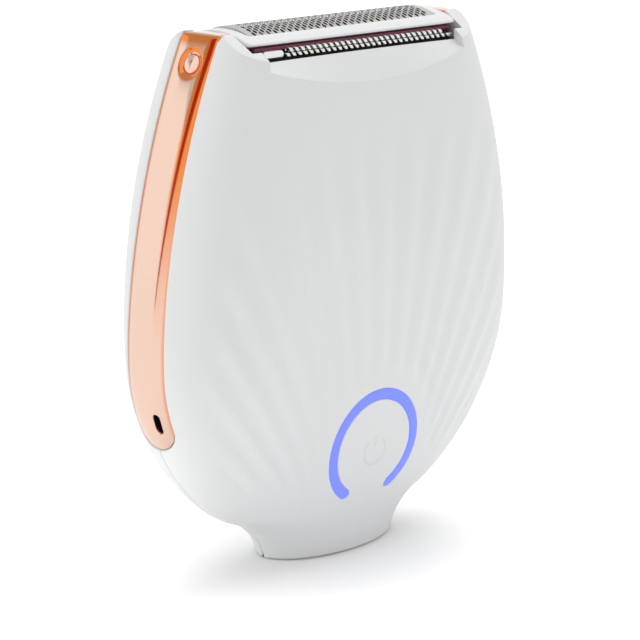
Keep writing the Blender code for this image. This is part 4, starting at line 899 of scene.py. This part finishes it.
def build_frame():
    """White cassette rim, and the dark skirt that hangs below it behind the trimmers: maroon above, with a
    black lower band that is painted shade.
    """
    window = rounded_loop(*FRAME_WINDOW, WINDOW_ROUND)
    rim = rounded_loop(*FRAME_HALF, FRAME_ROUND)
    under = rounded_loop(FRAME_HALF[0] - 0.5, SKIRT_HALF_WIDTH - 0.4, 0.9)
    wall = rounded_loop(FRAME_HALF[0] - 0.3, SKIRT_HALF_WIDTH, 1.0)
    crown = [lifted(loop, frame_top(loop[:, 1])) for loop in (window, (window + rim) / 2, rim)]
    low = RAIL_Z - RAIL_LIP
    corners = [lifted(window, low), *crown, lifted(rim, RAIL_Z), lifted(under, low)]
    rows = rounded_chain(corners, {1: 0.25, 3: 0.5, 4: 0.2})
    cassette = sheet("head_cassette", np.concatenate([rows, rows[:1]]), recalc=True)
    smooth(cassette)
    dress(cassette, "shaving_head", "white_plastic", WHITE, "head_frame")
    inside = rounded_loop(FRAME_WINDOW[0], SKIRT_HALF_WIDTH - SKIRT_WALL, WINDOW_ROUND)
    # The lower band is black rubber finish as painted shade below the teeth; the upper band is the carriers'
    # maroon.
    for name, bottom, top, slot, material in (
            ("head_skirt", SKIRT_PAINTED_SHADE_TOP, RAIL_Z - 0.3, "carrier_red", MAROON),
            ("head_skirt_painted_shade", SKIRT_Z, SKIRT_PAINTED_SHADE_TOP, "seal_rubber", RUBBER_AND_PAINTED_SHADE)):
        section = ((inside, bottom), (inside, top), (wall, top), (wall, bottom), (inside, bottom))
        skirt = sheet(name, np.stack([lifted(loop, z) for loop, z in section]), recalc=True)
        modify(skirt, "BEVEL", width=0.1 * MM, segments=2, limit_method="ANGLE")
        smooth(skirt)
        dress(skirt, "shaving_head", slot, material)


def build_foil():
    """Arched foil: one cell with its hole is copied over the sheet, which is then bent and thickened."""
    merge = {"use_merge_vertices": True, "merge_threshold": 0.001}
    rise = FOIL_RIDGE_Z - FOIL_EDGE_Z
    radius = (FOIL_HALF_WIDTH ** 2 + rise ** 2) / (2 * rise)
    half_arc = radius * asin(FOIL_HALF_WIDTH / radius)
    low = -FOIL_ROW * FOIL_CELLS / 2
    half = FOIL_PITCH * FOIL_COLUMNS / 2
    parts = []
    for start in (0, 1):
        cell = foil_cell("foil_cell", FOIL_PITCH / 2, FOIL_ROW)
        across = FOIL_PITCH / 4 + start * FOIL_PITCH / 2
        cell.location = (across, low + FOIL_ROW / 2 + start * FOIL_ROW / 2, 0)
        pick(cell)
        bpy.ops.object.transform_apply(location=True)
        parts.append(repeat(cell, FOIL_CELLS - start, (0, FOIL_ROW, 0), **merge))
    for edge in (low + FOIL_ROW / 4, -low - FOIL_ROW / 4):
        plain = grid("foil_strip", 2, 1)
        plain.scale = (FOIL_PITCH / 2, FOIL_ROW / 2, 1)
        plain.location = (FOIL_PITCH * 3 / 4, edge, 0)
        bpy.ops.object.transform_apply(location=True, scale=True)
        parts.append(plain)
    net = repeat(join("foil_net", parts), FOIL_COLUMNS, (FOIL_PITCH, 0, 0), **merge)
    weld(net, gap=0.002)
    for vertex in net.data.vertices:
        vertex.co.x -= half
    for axis, edge, margin in ((1, -low, half_arc + low), (0, half, FOIL_END - half)):
        for sign in (1, -1):
            widen(net, axis, sign, edge, margin)
            widen(net, axis, sign, edge + margin, FOIL_SKIRTS[axis])
    for vertex in net.data.vertices:
        x, v, _ = vertex.co
        turn = min(max(v, -half_arc), half_arc) / radius
        hang = max(abs(v) - half_arc, 0) + max(abs(x) - FOIL_END, 0)
        vertex.co = (min(max(x, -FOIL_END), FOIL_END), radius * sin(turn),
                     FOIL_RIDGE_Z - radius + radius * cos(turn) - hang)
    settle(net)
    weld(net)
    face_towards(net, (0, 0, 1))
    modify(net, "SOLIDIFY", thickness=FOIL_THICKNESS * MM, offset=-1)
    smooth(net, 30)
    dress(net, "shaving_head", "foil_nickel", FOIL, "foil")


def widen(net, axis, sign, edge, reach):
    """Lead one straight rim of a flat net outwards along an axis."""
    def on_rim(middle, item):
        a, b = (net.data.vertices[i].co[axis] for i in item.vertices)
        return sign * middle[axis] > edge - 0.01 and abs(a - b) < 0.01

    select_where(net, "EDGE", on_rim)
    move = Vector((0, 0, 0))
    move[axis] = sign * reach
    bpy.ops.mesh.extrude_edges_move(TRANSFORM_OT_translate={"value": move})
    mode("OBJECT")


def foil_cell(name, size_x, size_y):
    """Flat cell of the foil with one long round hole in it."""
    cell = grid(name, 2, 2, 2)
    cell.scale = (size_x / 2, size_y / 2, 1)
    bpy.ops.object.transform_apply(scale=True)
    mode("EDIT")
    bpy.ops.mesh.select_mode(type="VERT")
    bpy.ops.mesh.select_all(action="DESELECT")
    mode("OBJECT")
    for vertex in cell.data.vertices:
        vertex.select = vertex.co.length < 0.01
    mode("EDIT")
    bpy.ops.mesh.dissolve_verts()
    bpy.ops.mesh.select_mode(type="FACE")
    bpy.ops.mesh.select_all(action="SELECT")
    bpy.ops.mesh.inset(thickness=0.15)
    bpy.ops.transform.tosphere(value=1.0)
    mode("OBJECT")
    hole = [v for v in cell.data.vertices if v.select]
    radius = max(v.co.length for v in hole)
    for vertex in hole:
        vertex.co.x *= FOIL_HOLE[0] / (2 * radius)
        vertex.co.y *= FOIL_HOLE[1] / (2 * radius)
    mode("EDIT")
    bpy.ops.mesh.delete(type="FACE")
    mode("OBJECT")
    return cell


def block(name, low, high, bevel=0.0, segments=3):
    """Box between two corners with rounded edges, on the bench in millimetres."""
    bpy.ops.object.select_all(action="DESELECT")
    bpy.ops.mesh.primitive_cube_add(size=1)
    obj = named(name)
    a, b = Vector(low), Vector(high)
    obj.location = (a + b) / 2
    obj.scale = b - a
    bpy.ops.object.transform_apply(location=True, scale=True)
    if bevel:
        mode("EDIT")
        bpy.ops.mesh.select_all(action="SELECT")
        bpy.ops.mesh.bevel(offset=bevel, segments=segments, affect="EDGES")
        mode("OBJECT")
    return obj


def tooth_row(name, start, end, tip, low, high, flat):
    """Row of round-edged leaning teeth, each narrower and thinner at its front tip, flat on one side."""
    half = TOOTH_WIDTH / 2
    one = block(name, (-half, -tip, low), (half, -TOOTH_ROOT, high), TOOTH_ROUND, 3)
    first = start + TOOTH_PITCH / 2
    for vertex in one.data.vertices:
        share = min(max((-vertex.co.y - TOOTH_ROOT) / (tip - TOOTH_ROOT), 0), 1)
        vertex.co.x = vertex.co.x * (1 - TOOTH_TAPER * share) + first - TOOTH_LEAN * (vertex.co.z - flat)
        vertex.co.z -= TOOTH_THIN * share * share * (vertex.co.z - flat)
    return repeat(one, int((end - start) / TOOTH_PITCH), (TOOTH_PITCH, 0, 0))


def build_trimmers():
    """Comb and blade of the front trimmer; the rear ones are the same turned half round."""
    comb = join("comb", [
        tooth_row("comb_teeth", -17.88, 24.1, 9.0, 90.85, 91.76, 91.76),
        block("comb_back", (-24, -7.7, 91.0), (24, -7.2, 91.56), 0.12, 2),
        block("comb_left_tab", (-22.5, -9.0, 90.85), (-17.75, -7.3, 92.4), 0.72, 8),
        block("comb_right_tab", (22.6, -8.3, 90.95), (24.3, -7.3, 91.6), 0.2, 4)])
    blade = join("blade", [
        tooth_row("blade_teeth", -16.52, 22.0, 8.75, 91.8, 92.72, 91.8),
        block("blade_back", (-16.6, -7.7, 91.9), (20.6, -7.2, 92.5), 0.1, 2),
        block("blade_tab", (-1.5, -7.4, 91.9), (1.5, -5.0, 92.5), 0.1, 2)])
    for obj, node, body in ((comb, "comb", "shaving_head"), (blade, "trimmer_blade", None)):
        settle(obj)
        smooth(obj)
        rear = copy_of(obj, f"rear_{node}_steel", Matrix.Rotation(pi, 4, "Z"))
        obj.name = obj.data.name = f"front_{node}_steel"
        for end, piece in (("front", obj), ("rear", rear)):
            dress(piece, body or f"{end}_blade", "trimmer_steel", STEEL, f"{end}_{node}")


# Screws with a cross recess

SCREW_PROFILE = [(0, -3.0), (1.0, -3.0), (1.0, 0), (1.9, 0),
                 (1.9, 0.45), (1.72, 0.66), (1.35, 0.78), (0, 0.82)]
SCREW_RISE = 0.8


def build_screws():
    head = turned("screw_head", SCREW_PROFILE, Matrix.Identity(4), 32)
    weld(head, recalc=True)
    cross = join("cross", [block("bar_a", (-0.95, -0.24, 0.35), (0.95, 0.24, 1.2)),
                           block("bar_b", (-0.24, -0.95, 0.3), (0.24, 0.95, 1.3))])
    settle(cross)
    modify(head, "BOOLEAN", operation="DIFFERENCE", object=cross, solver="EXACT", use_self=True)
    bpy.data.objects.remove(cross)
    smooth(head, 35)
    for node in ("left_deck_screw", "right_deck_screw", "left_cradle_screw", "right_cradle_screw",
                 "left_board_screw", "right_board_screw"):
        low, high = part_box(node)
        size = high - low
        middle = (low + high) / 2
        if size.z > size.y:
            place = Matrix.Translation((middle.x, middle.y, high.z - SCREW_RISE * MM))
        elif "cradle" in node:
            place = aim((middle.x, low.y + SCREW_RISE * MM, middle.z), (0, -1, 0))
        else:
            place = aim((middle.x, high.y - SCREW_RISE * MM, middle.z), (0, 1, 0))
        piece = copy_of(head, f"{node}_cross", place)
        dress(piece, "housing", "screw_zinc", ZINC, node)
    bpy.data.objects.remove(head)


# Materials

def node_of(tree, kind, links=(), **values):
    """Shader node with its settings and constants, and (input, source) pairs that lead into it."""
    node = tree.nodes.new(f"ShaderNode{kind}")
    for key, value in values.items():
        if key in node.inputs:
            node.inputs[key].default_value = value
        else:
            setattr(node, key, value)
    for key, source in links:
        tree.links.new(source, node.inputs[key])
    return node


def math_of(tree, operation, *sources):
    """Result of a math node on sockets."""
    return node_of(tree, "Math", enumerate(sources), operation=operation).outputs[0]


def ramp_of(tree, source, low, high, start=0.0, end=1.0):
    """Smooth ramp from one number to another as a socket's value goes from low to high."""
    node = node_of(tree, "MapRange", [("Value", source)], interpolation_type="SMOOTHSTEP")
    for label, value in (("From Min", low), ("From Max", high), ("To Min", start), ("To Max", end)):
        node.inputs[label].default_value = value
    return node.outputs["Result"]


def effect(name, extras):
    """Shader node group with the sockets that every effect has and its own extra inputs."""
    group = bpy.data.node_groups.new(name, "ShaderNodeTree")
    shared = [("Vector", "Vector"), ("Tone", "Color"), ("Gloss", "Float"), ("Gloss Spread", "Float")]
    for label, kind in shared + extras:
        group.interface.new_socket(label, in_out="INPUT", socket_type=f"NodeSocket{kind}")
    for label, kind in (("Color", "Color"), ("Roughness", "Float"), ("Height", "Float")):
        group.interface.new_socket(label, in_out="OUTPUT", socket_type=f"NodeSocket{kind}")
    return group, group.nodes.new("NodeGroupInput").outputs, group.nodes.new("NodeGroupOutput").inputs


def lead_out(group, end, start, factor, other, uneven, height):
    """Lead an effect's results out: a mix of two tones, an uneven gloss and a height."""
    mix = node_of(group, "Mix", [("Factor", factor), (6, start["Tone"]), (7, start[other])], data_type="RGBA")
    group.links.new(mix.outputs[2], end["Color"])
    gloss = math_of(group, "MULTIPLY_ADD", uneven, start["Gloss Spread"], start["Gloss"])
    group.links.new(gloss, end["Roughness"])
    group.links.new(height, end["Height"])
    return group


def moulded_effect():
    """Moulded plastic: faint cloudy tone, uneven gloss and a fine sparked grain."""
    group, start, end = effect("moulded_plastic", [("Cloud", "Color"), ("Grain Scale", "Float")])
    place = [("Vector", start["Vector"])]
    cloud = node_of(group, "TexNoise", place, Scale=55.0, Detail=3.0, Roughness=0.55)
    smear = node_of(group, "TexNoise", place, Scale=140.0, Detail=4.0, Roughness=0.6)
    centre = node_of(group, "Math", [(0, smear.outputs["Fac"])], operation="SUBTRACT")
    centre.inputs[1].default_value = 0.5
    grain = node_of(group, "TexNoise", place + [("Scale", start["Grain Scale"])], Detail=2.0, Roughness=0.5)
    return lead_out(group, end, start, cloud.outputs["Fac"], "Cloud", centre.outputs[0], grain.outputs["Fac"])


def drawn_effect():
    """Drawn or ground metal: fine lines along one direction in tone, gloss and height."""
    group, start, end = effect("drawn_metal", [("Line Tone", "Color"), ("Stretch", "Vector")])
    pull = node_of(group, "VectorMath", [(0, start["Vector"]), (1, start["Stretch"])], operation="MULTIPLY")
    lines = node_of(group, "TexNoise", [("Vector", pull.outputs[0])], Scale=1.0, Detail=3.0, Roughness=0.6)
    lines = lines.outputs["Fac"]
    return lead_out(group, end, start, lines, "Line Tone", lines, lines)


def plated_effect():
    """Copper plating: pale on the broad face, with a deeper orange painted reflection on its edges, over the
    shoulder and round the dome.
    """
    group, start, end = effect("plated_copper", [("Warm Tone", "Color")])
    split = node_of(group, "SeparateXYZ", [(0, start["Vector"])]).outputs

    def ramp(source, low, high, top=1.0):
        return ramp_of(group, source, low * MM, high * MM, 0.0, top)

    def both(a, b):
        return math_of(group, "MULTIPLY", a, b)

    def either(a, b):
        return math_of(group, "MAXIMUM", a, b)

    flat = node_of(group, "VectorMath", [(0, start["Vector"])], operation="MULTIPLY")
    flat.inputs[1].default_value = (0, 1, 1)
    away = node_of(group, "VectorMath", [(0, flat.outputs["Vector"])], operation="DISTANCE")
    away.inputs[1].default_value = (0, 0, RELEASE_Z * MM)
    away = away.outputs["Value"]
    # Deeper orange painted reflection where the copper mirrors dim surroundings: front edge, rims, shoulder
    # corner and the dome's seat.
    ended = ramp(split["Z"], *PAINTED_REFLECTION_END_Z)
    edge = both(ramp(split["Y"], *PAINTED_REFLECTION_EDGE_Y), both(ramp(split["Z"], *PAINTED_REFLECTION_EDGE_Z), ended))
    corner = both(ramp(split["Z"], *PAINTED_REFLECTION_CORNER_Z), ended)
    seat = both(ramp(away, *PAINTED_REFLECTION_SEAT), ramp(away, *PAINTED_REFLECTION_SEAT_END))
    rims = either(ramp(split["Y"], *PAINTED_REFLECTION_REAR_RIM), ramp(split["Y"], *PAINTED_REFLECTION_FRONT_RIM))
    warm = either(either(edge, corner), either(seat, rims))
    haze = node_of(group, "TexNoise", [("Vector", start["Vector"])], Scale=220.0, Detail=3.0, Roughness=0.6)
    haze = haze.outputs["Fac"]
    return lead_out(group, end, start, warm, "Warm Tone", haze, haze)


MOULDED = moulded_effect()
DRAWN = drawn_effect()
PLATED = plated_effect()


def principled(name, **values):
    """New Principled material with constants on its sockets, its node tree and the shader's inputs."""
    mat = bpy.data.materials.new(name)
    mat.use_nodes = True
    shader = mat.node_tree.nodes["Principled BSDF"].inputs
    for key, value in values.items():
        shader[key.replace("_", " ")].default_value = value
    return mat, mat.node_tree, shader


def finish(name, group, bump, metallic=0.0, coat=0.0, **values):
    """Principled material whose tone, gloss and relief come from an effect on Object coordinates."""
    mat, tree, shader = principled(name, Metallic=metallic, Coat_Weight=coat, Coat_Roughness=0.08)
    place = tree.nodes.new("ShaderNodeTexCoord")
    work = tree.nodes.new("ShaderNodeGroup")
    work.node_tree = group
    for key, value in values.items():
        socket = work.inputs[key.replace("_", " ").title()]
        socket.default_value = (*value, 1) if socket.type == "RGBA" else value
    tree.links.new(place.outputs["Object"], work.inputs["Vector"])
    tree.links.new(work.outputs["Color"], shader["Base Color"])
    tree.links.new(work.outputs["Roughness"], shader["Roughness"])
    relief = node_of(tree, "Bump", [("Height", work.outputs["Height"])], Strength=bump, Distance=0.00002)
    tree.links.new(relief.outputs["Normal"], shader["Normal"])
    return mat


def plastic(name, tone, cloud, gloss, spread, bump, coat=0.0, grain=2600.0):
    return finish(name, MOULDED, bump, coat=coat, tone=tone, cloud=cloud, gloss=gloss, gloss_spread=spread,
                  grain_scale=grain)


def metal(name, tone, line_tone, gloss, spread, bump, stretch):
    return finish(name, DRAWN, bump, metallic=1.0, tone=tone, line_tone=line_tone, gloss=gloss,
                  gloss_spread=spread, stretch=stretch)


# Pale copper whose deeper orange tone is painted reflection, laid on by the plated effect.
def copper(name, gloss, spread):
    return finish(name, PLATED, 0.01, metallic=1.0, tone=(0.93, 0.66, 0.54), warm_tone=(0.88, 0.27, 0.07),
                  gloss=gloss, gloss_spread=spread)


def glowing(name, tone, cloud, glow, strength):
    """Frosted light guide: the moulded effect tints the glow, so it is brighter in soft patches."""
    mat = plastic(name, tone, cloud, 0.3, 0.06, 0.05)
    tree = mat.node_tree
    shader = tree.nodes["Principled BSDF"].inputs
    work = next(n for n in tree.nodes if n.type == "GROUP")
    tint = node_of(tree, "Mix", [(6, work.outputs["Color"])], data_type="RGBA", Factor=0.9)
    tint.inputs[7].default_value = (*glow, 1)
    tree.links.new(tint.outputs[2], shader["Emission Color"])
    shader["Emission Strength"].default_value = strength
    return mat


WHITE = plastic("white_plastic_finish", (0.837, 0.845, 0.849), (0.813, 0.820, 0.824), 0.36, 0.05, 0.12,
                grain=3200.0)
SIGN = plastic("sign_finish", (0.785, 0.79, 0.80), (0.76, 0.765, 0.775), 0.32, 0.05, 0.1)
MAROON = plastic("maroon_finish", (0.17, 0.018, 0.045), (0.13, 0.012, 0.035), 0.42, 0.1, 0.2)
GREY = plastic("drive_plastic_finish", (0.27, 0.28, 0.30), (0.23, 0.24, 0.26), 0.48, 0.12, 0.3)
IVORY = plastic("eccentric_finish", (0.75, 0.72, 0.62), (0.70, 0.66, 0.56), 0.42, 0.1, 0.2)
# The rubber finish is used for the real seals and also as painted shade on the skirt's lower band.
RUBBER_AND_PAINTED_SHADE = plastic("rubber_and_painted_shade_finish", (0.055, 0.055, 0.06), (0.035, 0.035, 0.04), 0.68, 0.16, 0.5, grain=1800.0)
BLACK = plastic("black_plastic_finish", (0.03, 0.03, 0.033), (0.02, 0.02, 0.022), 0.5, 0.12, 0.3)
WRAP = plastic("cell_wrap_finish", (0.10, 0.26, 0.20), (0.08, 0.22, 0.17), 0.3, 0.1, 0.1, coat=0.3)
BOARD = plastic("board_finish", (0.03, 0.20, 0.09), (0.02, 0.15, 0.065), 0.38, 0.1, 0.25, coat=0.2)
STEEL = metal("trimmer_steel_finish", (0.90, 0.89, 0.87), (0.76, 0.75, 0.73), 0.16, 0.14, 0.15,
              (2600, 200, 2600))
FOIL = metal("foil_finish", (0.62, 0.61, 0.59), (0.50, 0.49, 0.47), 0.20, 0.14, 0.08, (120, 2600, 2600))
BLADE = metal("blade_finish", (0.30, 0.29, 0.28), (0.2, 0.2, 0.2), 0.3, 0.16, 0.15, (2600, 120, 2600))
ZINC = metal("zinc_finish", (0.66, 0.66, 0.67), (0.5, 0.51, 0.54), 0.26, 0.14, 0.12, (1200, 1200, 1200))
NICKEL = metal("nickel_finish", (0.72, 0.70, 0.66), (0.6, 0.58, 0.54), 0.24, 0.14, 0.12, (2000, 150, 2000))
COPPER = copper("copper_finish", 0.08, 0.04)
DOME = copper("dome_finish", 0.13, 0.05)
LIGHT = glowing("light_guide_finish", (0.08, 0.11, 0.42), (0.06, 0.08, 0.36), (0.19, 0.26, 0.95), 0.76)
LED = glowing("led_finish", (0.7, 0.75, 0.9), (0.65, 0.7, 0.88), (0.5, 0.6, 1.0), 1.5)

NODE_FINISHES = (
    (BLADE, ("cutter_blades", "motor_shaft")),
    (GREY, ("cutter_carriage", "drive_yoke", "head_deck", "motor_cradle")),
    (RUBBER_AND_PAINTED_SHADE, ("drive_seal", "left_button_seal", "right_button_seal")),
    (IVORY, ("eccentric",)),
    (ZINC, ("motor",)),
    (WRAP, ("cell",)),
    (NICKEL, ("left_cell_tab", "right_cell_tab")),
    (BOARD, ("circuit_board",)),
    (BLACK, ("tact_switch", "charging_socket")),
    (LED, ("top_led", "left_led", "right_led")),
    (MAROON, ("front_trimmer_carrier", "rear_trimmer_carrier")),
)


def finish_nodes():
    for mat, nodes in NODE_FINISHES:
        for node in nodes:
            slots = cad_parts[node].data.materials
            slots.clear()
            slots.append(mat)


# Stage: lengths are metres here

CAMERA_AZIMUTH = radians(44.48)
CAMERA_ELEVATION = radians(13.86)
CAMERA_DISTANCE = 0.4298
CAMERA_TARGET = Vector((0, 0, 0.0412))
CAMERA_LENS = 134.4
CAMERA_SHIFT = -3.7 / 640
FLOOR_Z = -0.0002
FLOOR_PAINTED_LIGHT = (0.012, 0.052, 0.05, 0.42)
FLOOR_GLOW = (0.030, 0.060, 0.0, 0.42)
FLOOR_GLOW_END = (0.090, 0.130, 1.0, 0.0)
FLAG_LOW = (radians(146.2), radians(147.8))
FLAG_HIGH = (radians(138.0), radians(154.0))


def build_floor():
    """Pale floor that throws some light back at the object; to the camera it also carries painted light that
    grows away from the foot, so it is white away from the foot and its shadow stays only close to it.
    """
    bpy.ops.object.select_all(action="DESELECT")
    bpy.ops.mesh.primitive_plane_add(size=8.0, location=(0, 0, FLOOR_Z))
    floor = named("floor")
    mat, tree, paper = principled("floor_paper", Base_Color=(0.95, 0.95, 0.95, 1), Roughness=0.85,
                                  Specular_IOR_Level=0.0, Emission_Color=(1, 1, 1, 1))
    place = tree.nodes.new("ShaderNodeTexCoord")
    away = node_of(tree, "VectorMath", [(0, place.outputs["Object"])], operation="LENGTH").outputs["Value"]
    path = tree.nodes.new("ShaderNodeLightPath").outputs
    glow = math_of(tree, "MULTIPLY", ramp_of(tree, away, *FLOOR_GLOW), ramp_of(tree, away, *FLOOR_GLOW_END))
    spill = math_of(tree, "MULTIPLY", path["Is Diffuse Ray"], glow)
    # Painted light seen by the camera only: dim near the foot and strong further out, so only the shadow
    # close to the foot stays.
    white = ramp_of(tree, away, *FLOOR_PAINTED_LIGHT)
    mix = node_of(tree, "Mix", [(0, path["Is Camera Ray"]), (2, spill), (3, white)])
    tree.links.new(mix.outputs[0], paper["Emission Strength"])
    floor.data.materials.append(mat)


def build_world():
    """Even studio light that is pure white where it is seen or mirrored."""
    world = bpy.data.worlds.new("studio")
    bpy.context.scene.world = world
    world.use_nodes = True
    tree = world.node_tree
    tree.nodes.clear()
    path = tree.nodes.new("ShaderNodeLightPath").outputs
    shown = math_of(tree, "MAXIMUM", path["Is Camera Ray"], path["Is Glossy Ray"])
    seen = math_of(tree, "MAXIMUM", shown, path["Is Transmission Ray"])
    dim = node_of(tree, "Background", Color=(1, 1, 1, 1), Strength=0.58)
    white = node_of(tree, "Background", Color=(1, 1, 1, 1), Strength=1.0)
    mix = node_of(tree, "MixShader", [(0, seen), (1, dim.outputs[0]), (2, white.outputs[0])])
    node_of(tree, "OutputWorld", [("Surface", mix.outputs[0])])


def card(name, corners, tone):
    """Studio flag that shows only in reflections."""
    flag = grid(name, 1, 1)
    for vertex, place in zip(flag.data.vertices, corners):
        vertex.co = place
    mat, _, _ = principled(f"{name}_cloth", Base_Color=(0, 0, 0, 1), Roughness=1.0, Specular_IOR_Level=0.0,
                           Emission_Color=(*tone, 1), Emission_Strength=1.0)
    flag.data.materials.append(mat)
    flag.visible_camera = flag.visible_diffuse = flag.visible_shadow = flag.visible_transmission = False


def sun(name, direction, angle, strength):
    """Very soft far lamp that shines from a direction and isn't seen in reflections."""
    data = bpy.data.lights.new(name, "SUN")
    data.angle = radians(angle)
    data.energy = strength
    obj = bpy.data.objects.new(name, data)
    bpy.context.scene.collection.objects.link(obj)
    obj.rotation_euler = (-Vector(direction)).to_track_quat("-Z", "Y").to_euler()
    obj.visible_glossy = False


def build_lights():
    """Two soft lamps, a red flag that draws the trim's dark line, and a grey one behind."""
    ends = ((FLAG_LOW, 0.0), (FLAG_HIGH, 1.0))
    corners = [(cos(turn), sin(turn), z) for turns, z in ends for turn in turns]
    card("left_flag", corners, (0.40, 0.045, 0.012))
    card("rear_flag", [(x, 0.9, z) for z in (0.5, 2.2) for x in (-1.1, 0.9)], (0.6, 0.6, 0.6))
    sun("left_window", (-0.9, 0.35, 0.2), 40, 0.66)
    sun("right_overhead", (0.5, 0.2, 1.0), 60, 1.48)


def build_camera():
    """Camera at the photograph's angle."""
    level = cos(CAMERA_ELEVATION)
    back = Vector((-sin(CAMERA_AZIMUTH) * level, -cos(CAMERA_AZIMUTH) * level, sin(CAMERA_ELEVATION)))
    data = bpy.data.cameras.new("camera")
    data.lens = CAMERA_LENS
    data.sensor_width = 36.0
    data.shift_x = CAMERA_SHIFT
    camera = bpy.data.objects.new("camera", data)
    bpy.context.scene.collection.objects.link(camera)
    camera.location = CAMERA_TARGET + back * CAMERA_DISTANCE
    camera.rotation_euler = (-back).to_track_quat("-Z", "Y").to_euler()
    bpy.context.scene.camera = camera


build_shells()
build_ring()
build_key()
build_trims()
build_frame()
build_foil()
build_trimmers()
build_screws()
finish_nodes()
build_floor()
build_world()
build_lights()
build_camera()

bpy.context.scene.view_settings.view_transform = "Standard"
